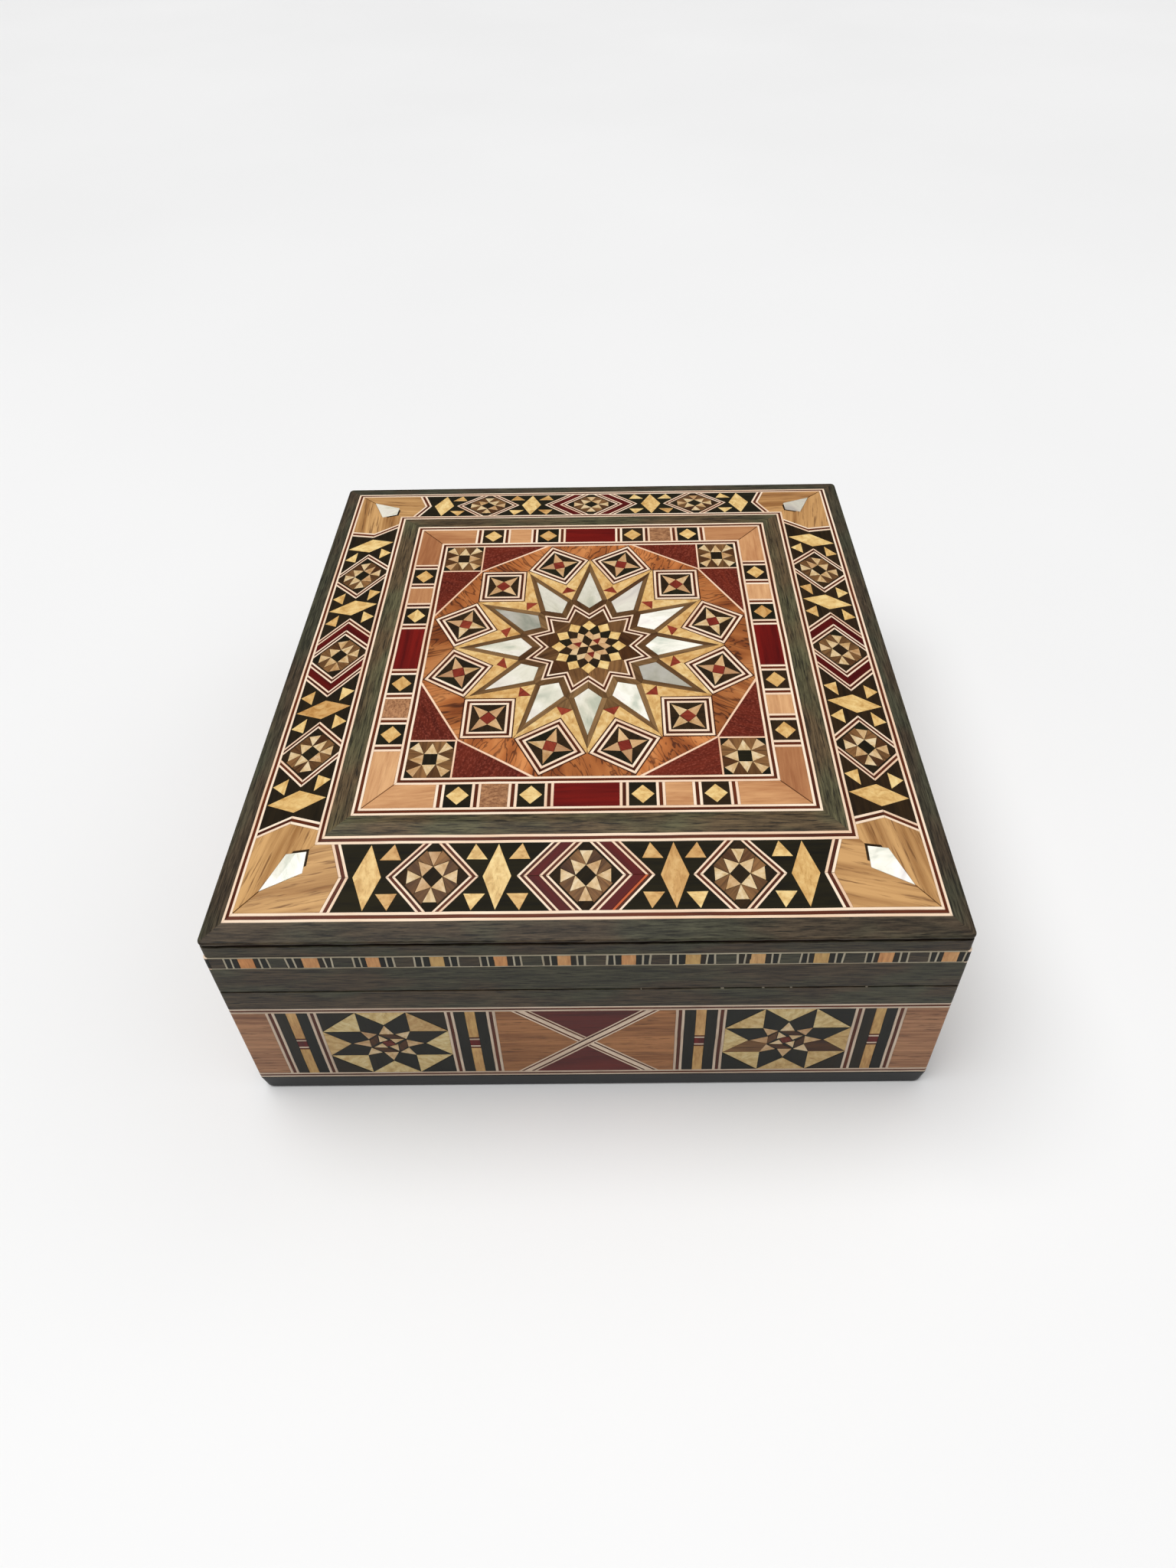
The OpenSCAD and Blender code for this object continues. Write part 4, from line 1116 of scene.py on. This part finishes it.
def cross_panel(sheet, x0, x1):
    """Two crossing lines of five plies, with wine-red above and below and brown at the sides."""
    h = BAND_H / 2
    half, mid = (x1 - x0) / 2, (x0 + x1) / 2
    edge = -sum(CROSS_PLIES) / 2
    lean = math.degrees(math.atan2(h, half * 0.72))
    nx, ny = polar(1, lean + 90)
    run = 1.6 * half

    def bar(angle, side=0):
        """A bar across the panel, or only its part on one side of the other bar."""
        v = edge
        for i, ply in enumerate(CROSS_PLIES):
            strip = turned(box_outline(-run, run, v, v + ply), angle)
            if side:
                strip = clipped(strip, -side * nx, -side * ny, edge)
            strip = cut_to_band(clipped(clipped(strip, 1, 0, half), -1, 0, half), h)
            sheet.tile("band_cross_lines" + PLY_PARTS[i % 2], moved(strip, mid, BAND_MID), angle,
                       CROSS_TINTS[i % 2])
            v += ply

    bar(lean)
    bar(-lean, 1)
    bar(-lean, -1)
    for part, s1, s2 in ((".wine", 1, 1), (".wine", -1, -1), (".band", -1, 1), (".band", 1, -1)):
        area = clipped(box_outline(-half, half, -h, h), -s1 * nx, -s1 * ny, edge)
        area = clipped(area, s2 * nx, -s2 * ny, edge)
        sheet.tile("band_cross_triangles" + part, moved(area, mid, BAND_MID), 0)


def band_side(k, sheet):
    right = CROSS_HALF - FRONT_SHORT * (k == 0)
    cross_panel(sheet, -CROSS_HALF, right)
    for s, edge in ((-1, CROSS_HALF), (1, right)):
        bar_group(sheet, edge, s)
        star_tile(sheet, s * (edge + GROUP + BAND_H / 2))
        bar_group(sheet, edge + GROUP + BAND_H, s)


# ---- Draw and build the tiles ----

# Which pieces each material is for. A piece is named after its CAD node, with a part's name
# after the dot where a node is made in several materials.
PIECES_IN = {
    "light": "lid_lines.light border_tile_frames.light inner_border_lines.light "
             "panel_diamond_tiles.light zigzag_line.light panel_thin_lines",
    "dark": "lid_lines.dark border_tile_frames.dark inner_border_lines.dark "
            "panel_diamond_tiles.dark zigzag_line.dark band_upright_lines.dark "
            "band_red_studs.dark band_cross_lines.dark",
    "band_line": "band_upright_lines.light band_red_studs.light band_cross_lines.light",
    "tick": "lid_side_strips.light lid_side_strips.ticks",
    "black": "lid_side_strips.dark band_black_bars band_star_tiles",
    "ebony": "border_black_ground border_rosette_tiles.black corner_pearls.black inner_diamond_tiles "
             "panel_diamond_tiles panel_corner_rosettes.black core_rosette",
    "bone": "border_rhombs inner_diamond_tiles.bone core_rosette.bone",
    "pale_bone": "border_rosette_tiles.bone panel_diamond_tiles.yellow panel_corner_rosettes.bone "
                 "band_star_tiles.star",
    "star_bone": "panel_diamond_tiles.bone core_rosette.star",
    "band_bone": "band_star_tiles.bone",
    "wedge": "bone_wedges",
    "pearl": "corner_pearls pearl_kites",
    "brown": "border_rosette_tiles.brown panel_corner_rosettes.brown core_rosette.brown "
             "band_star_tiles.brown",
    "kite": "kite_surrounds",
    "mottled": "inner_wood_blocks.mottled",
    "band": "band_cross_triangles.band",
    "red": "border_red_chevrons inner_red_blocks band_red_studs",
    "brick": "red_darts panel_diamond_tiles.red core_rosette.red",
    "wine": "panel_wine_triangles band_star_tiles.red",
    "plum": "band_cross_triangles.wine",
    "orange": "border_tile_frames.orange",
    "light_wood": "inner_wood_blocks",
    "tan": "lid_side_strips.blocks band_yellow_bars",
    "corner": "corner_blocks",
    "olive": "olivewood_field",
    "walnut": "lid_side_strips.middle",
}
MATERIAL_OF = {name: material for material, names in PIECES_IN.items() for name in names.split()}
# The part that stands for its node, where that isn't the piece with the node's own name
MAIN_PARTS = {
    "border_tile_frames": ".light", "border_rosette_tiles": ".brown", "inner_border_lines": ".light",
    "zigzag_line": ".light", "panel_corner_rosettes": ".brown", "core_rosette": ".brown",
    "lid_side_strips": ".blocks", "band_upright_lines": ".light", "band_cross_lines": ".light",
    "band_cross_triangles": ".wine",
}


def build_sets(sets, body):
    for name, piece in sets.items():
        node = name.split(".")[0]
        replaced = [node] if name == node + MAIN_PARTS.get(node, "") else []
        if name == "lid_lines.light":
            replaced = ["lid_border_lines", "lid_panel_lines"]
        piece.build(name, MATERIAL_OF[name], body, replaced)


for side in range(4):
    border_side(side)
    inner_side(side)
lid_lines()
star_panel()
octagon_corners()
core()
build_sets(lid.sets, "lid")

strips, bands = {}, {}
for side in range(4):
    strip_side(side, Inlay(place_on_side(side), 3.0 + side, strips))
    band_side(side, Inlay(place_on_side(side), 9.0 + side, bands))
build_sets(strips, "lid")
build_sets(bands, "base")


# ---- Walnut members, side lines and end blocks ----

CAP_T = 0.75
# Height and setback of the dark rail of painted shadow under the cap's nose
SHADOW_H = 0.85
SHADOW_IN = 0.45
NOSE = 0.4
SEAM_H = 0.34
SEAM_IN = 0.4
SEAM_CHIPS = 5
WITHOUT_BACK = (0, 1, 3)


def rails(name, material, body, profile, replaced=(), sides=range(4), smooth=False, **options):
    piece = Piece()
    for k in sides:
        add_rail(piece, k, profile, **options)
    return piece.build(name, material, body, replaced, smooth)


def lid_edge():
    """The sloping cap of the lid's edge, the dark uneven line of painted shadow under it and the lower rail.
    """
    top_in = TOP - SLOPE * (F1 - FLAT)
    top_out = TOP - SLOPE * (HALF - FLAT)
    cap_low = top_out - CAP_T
    shadow_low = cap_low - SHADOW_H
    # A dark rail set back under the cap's nose: painted shadow under the overhang
    cap = [(F1, cap_low), (F1, top_in), (HALF, top_out), (HALF, cap_low)]
    painted_shadow = [(F1, shadow_low - 0.1), (F1, cap_low + 0.1), (HALF - SHADOW_IN, cap_low + 0.1),
            (HALF - SHADOW_IN, shadow_low - 0.1)]
    rails("lid_edge_mouldings.cap", "walnut", "lid", eased(cap, NOSE, only=(2, 3)),
          ["lid_edge_mouldings"], corner=1.2, worn=(cap_low, 0.22), tint=0.1)
    rails("lid_edge_mouldings.glue", "painted_shadow", "lid", painted_shadow, corner=1.2)
    rails("lid_edge_mouldings.rail", "walnut", "lid", eased(slab(F1, HALF - 0.1, EDGE_Z, shadow_low), 0.12),
          corner=1.1, worn=(shadow_low, 0.25), tint=0.2)


def walnut_members():
    frame_profile = [
        (F5, TOP - 1), (F5, TOP), (FLAT, TOP), (F4, TOP - SLOPE * (F4 - FLAT)), (F4, TOP - 1.2),
    ]
    rails("walnut_frame.rails", "walnut", "lid", eased(eased(frame_profile, 0.4, only=(2,)), 0.05),
          ["walnut_frame"], tint=0.95)
    rails("lid_rims", "walnut", "lid", eased(slab(INSIDE, HALF, LID_LOW, STRIP_Z), 0.1),
          ["lid_front_rim", "lid_side_rims"], WITHOUT_BACK, worn=(LID_LOW, 0.1), tint=0.3,
          back=(LID_LOW, 1))
    seam = BASE_TOP - SEAM_H
    rim = [(INSIDE, RIM_Z), (INSIDE, BASE_TOP), (HALF - SEAM_IN, BASE_TOP), (HALF - SEAM_IN, seam),
           (HALF, seam), (HALF, RIM_Z)]
    rails("base_rims", "walnut", "base", eased(rim, 0.08, only=(4,)),
          ["base_front_rim", "base_side_rims"], WITHOUT_BACK, worn=(seam, 0.2), tint=0.45,
          back=(BASE_TOP, -1))
    # A dark rail in the recess of the seam between lid and base: painted shadow in the parting line
    shadow_top = BASE_TOP - 0.02
    shadow = slab(HALF - 2 * SEAM_IN, HALF - SEAM_IN + 0.12, seam - 0.2, shadow_top)
    rails("base_rims.seam", "black", "base", shadow, sides=WITHOUT_BACK, back=(shadow_top, -1))
    chips = Piece()
    for k in WITHOUT_BACK:
        for _ in range(SEAM_CHIPS):
            x, z = rng.uniform(0.0, 0.85) * HALF, seam + rng.uniform(-0.1, 0.1)
            add_rail(chips, k, slab(HALF - SEAM_IN, HALF - 0.04, z, z + rng.uniform(0.1, 0.22)),
                     x_from=x, x_to=x + rng.uniform(0.15, 0.7))
    chips.build("base_rims.chips", "tick", "base")
    rails("base_foot_strips.stained", "foot", "base", eased(slab(CORE, HALF, 0.0, FOOT_H), 0.35),
          ["base_foot_strips"], foot=2.0)


def side_rail(z0, z1):
    return eased(slab(CORE, HALF, z0, z1), 0.05)


def side_lines():
    """The double lines above and below the side band, wrapped round the corners."""
    light, dark = Piece(), Piece()
    for z0, z1 in ((FOOT_H, BAND_Z), (BAND_TOP, RIM_Z)):
        h = (z1 - z0) / 3
        for i, piece in enumerate((light, dark, light)):
            for k in range(4):
                add_rail(piece, k, side_rail(z0 + i * h, z0 + (i + 1) * h), tint=0.4)
    light.build("base_line_strips.light", "band_line", "base", ["base_line_strips"])
    dark.build("base_line_strips.dark", "dark", "base")


def strip_ends():
    """The last bits of the lid's block strip, wrapped round the corners."""
    light, dark = Piece(), Piece()
    levels = (STRIP_Z, *STRIP_IN, EDGE_Z)
    for z0, z1, piece in zip(levels, levels[1:], (light, dark, light)):
        for k in range(4):
            add_rail(piece, k, side_rail(z0, z1), x_from=STRIP_END, tint=0.4)
            add_rail(piece, k, side_rail(z0, z1), x_to=-STRIP_END, tint=0.4)
    light.build("lid_side_strips.end_light", "light", "lid")
    dark.build("lid_side_strips.end_dark", "black", "lid")


def end_blocks():
    piece = Piece()
    for k in range(4):
        add_rail(piece, k, side_rail(BAND_Z, BAND_TOP), x_from=END_X - FRONT_SHORT * (k == 0))
        add_rail(piece, k, side_rail(BAND_Z, BAND_TOP), x_to=-END_X)
    piece.build("band_end_blocks.wood", "end", "base", ["band_end_blocks"])


lid_edge()
walnut_members()
side_lines()
strip_ends()
end_blocks()


# ---- Finishes of the CAD nodes that are kept ----

CAD_FINISHES = {
    "walnut_back": "base_back_rim lid_back_rim",
    "carcass_x": "bottom_board base_front_wall base_back_wall lid_board",
    "carcass_y": "base_side_walls lid_upper_walls",
    "brass": "left_hinge_base_leaf left_hinge_lid_leaf right_hinge_base_leaf right_hinge_lid_leaf "
             "hinge_pins base_hinge_screws lid_hinge_screws",
}
for finish, names in CAD_FINISHES.items():
    material, slot = MATERIALS[finish]
    for name in names.split():
        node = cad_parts[name]
        node.data.materials.clear()
        node.data.materials.append(material)


# ---- Velvet and felt ----

PAD_CELLS = 40
PAD_SAG = 0.175
PAD_ROUND = 2.2
CEILING_ROUND = 2.0
FELT_CELLS = 24
FELT_MARGIN = 0.5
LINING_T = 0.8


def grid(piece, size, n, height):
    """Adds the vertices of a square grid of n cells, whose height is a function of x and y."""
    for j in range(n + 1):
        for i in range(n + 1):
            x, y = size * (2 * i / n - 1), size * (2 * j / n - 1)
            piece.add((x, y, height(x, y)))


def cells(piece, n, first, up):
    """Adds the faces of a grid whose vertices start at first."""
    row = n + 1
    for j in range(n):
        for a in range(first + j * row, first + j * row + n):
            quad = (a, a + 1, a + row + 1, a + row)
            piece.faces.append(quad if up else quad[::-1])


def grid_rim(n):
    """The vertices round the edge of a grid, in order."""
    row, last = n + 1, (n + 1) ** 2 - 1
    return [*range(n), *range(n, last, row), *range(last, n * row, -1), *range(n * row, 0, -row)]


def stuffed_pad(size, height, glued, up):
    """A square pad, flat at the height glued, with its face at the other height."""
    piece = Piece()
    grid(piece, size, PAD_CELLS, height)
    cells(piece, PAD_CELLS, 0, up)
    rim = grid_rim(PAD_CELLS)
    top = len(piece.verts)
    for index in rim:
        x, y, _ = piece.verts[index]
        piece.add((x, y, glued))
    for i, index in enumerate(rim):
        after = (i + 1) % len(rim)
        quad = (top + i, top + after, rim[after], index)
        piece.faces.append(quad if up else quad[::-1])
    back = tuple(range(top, top + len(rim)))
    piece.faces.append(back[::-1] if up else back)
    return piece


def crown(size, x, y, width):
    """How far a pad has risen, from 0 at its edge to 1, at a place on it."""
    return 1 - math.exp(-(size - max(abs(x), abs(y))) / width)


def velvet_floor():
    """A thin stuffed pad: flat where it is glued, crowned towards the box's inside."""
    size = high("base_velvet_floor") - 0.9
    z0, z1 = ((v / MM).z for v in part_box("base_velvet_floor"))

    def face(x, y):
        rise = crown(size, x, y, PAD_ROUND)
        dent = noise.noise(Vector((x / 26, y / 26, 4.0))) * PAD_SAG
        return z0 + (z1 - z0) * (0.3 + 0.66 * rise) + dent * rise

    pad = stuffed_pad(size, face, z0, True).build(
        "base_velvet_floor.pad", "velvet", "base", ["base_velvet_floor"], True)


def velvet_walls(name, node, body):
    """The velvet on the four walls of the base or of the lid."""
    profile = eased(slab(INSIDE - LINING_T, INSIDE, low(node, 2), high(node, 2)), 0.35)
    lining = rails(name, "velvet", body, profile, [node], tint=0.5, smooth=True)


def velvet_ceiling():
    """The lid's velvet ceiling, a thin pad against the board."""
    size = INSIDE - LINING_T
    glued = high("lid_velvet_lining", 2)

    def face(x, y):
        return glued - 0.25 - 0.5 * crown(size, x, y, CEILING_ROUND)

    pad = stuffed_pad(size, face, glued, False).build(
        "lid_velvet_lining.ceiling", "velvet", "lid", smooth=True)


def underside():
    """The felt glued under the bottom board."""
    lowest, highest = (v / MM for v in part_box("underside_felt"))
    size, z = highest.x - FELT_MARGIN, lowest.z

    def waves(x, y):
        return 0.05 * noise.noise(Vector((x / 9, y / 9, 2.0)))

    piece = Piece()
    count = (FELT_CELLS + 1) ** 2
    for first, level, up in ((0, z + 0.1, False), (count, z + 0.45, True)):
        grid(piece, size, FELT_CELLS, lambda x, y: level + waves(x, y))
        cells(piece, FELT_CELLS, first, up)
    rim = grid_rim(FELT_CELLS)
    piece.faces += [(a, b, b + count, a + count) for a, b in zip(rim, rim[1:] + rim[:1])]
    sheet = piece.build("underside_felt.sheet", "felt", "base", ["underside_felt"], True)


velvet_floor()
velvet_walls("base_velvet_walls.lining", "base_velvet_walls", "base")
velvet_walls("lid_velvet_lining.walls", "lid_velvet_lining", "lid")
velvet_ceiling()
underside()


# ---- Floor, light and world ----

def make_floor():
    sh = Shader("floor", 0.6, board=0.0)
    tone = sh.noise((1, 1, 1), 0.003, 3, 0.5)
    sh.colour(sh.ramp(tone, (0.3, (240, 240, 240)), (0.7, (244, 244, 244))))
    bpy.ops.mesh.primitive_plane_add(size=8, location=(0, 0, -0.0002))
    floor = bpy.context.object
    floor.name = "floor"
    floor.data.materials.append(sh.material)


def soft_sun(name, comes_from, strength, angle):
    data = bpy.data.lights.new(name, "SUN")
    data.energy = strength
    data.angle = math.radians(angle)
    light = bpy.data.objects.new(name, data)
    bpy.context.scene.collection.objects.link(light)
    light.rotation_euler = Vector(comes_from).to_track_quat("Z", "Y").to_euler()


def make_lights():
    soft_sun("key", (-0.32, 0.0, 1.0), 2.25, 45)
    soft_sun("fill", (0.5, 0.05, 1.0), 0.95, 75)
    world = bpy.data.worlds.new("world")
    world.use_nodes = True
    background = world.node_tree.nodes["Background"]
    background.inputs["Color"].default_value = (1.0, 1.0, 1.0, 1.0)
    background.inputs["Strength"].default_value = 0.1
    bpy.context.scene.world = world
    bpy.context.scene.view_settings.view_transform = "Standard"


make_floor()
make_lights()
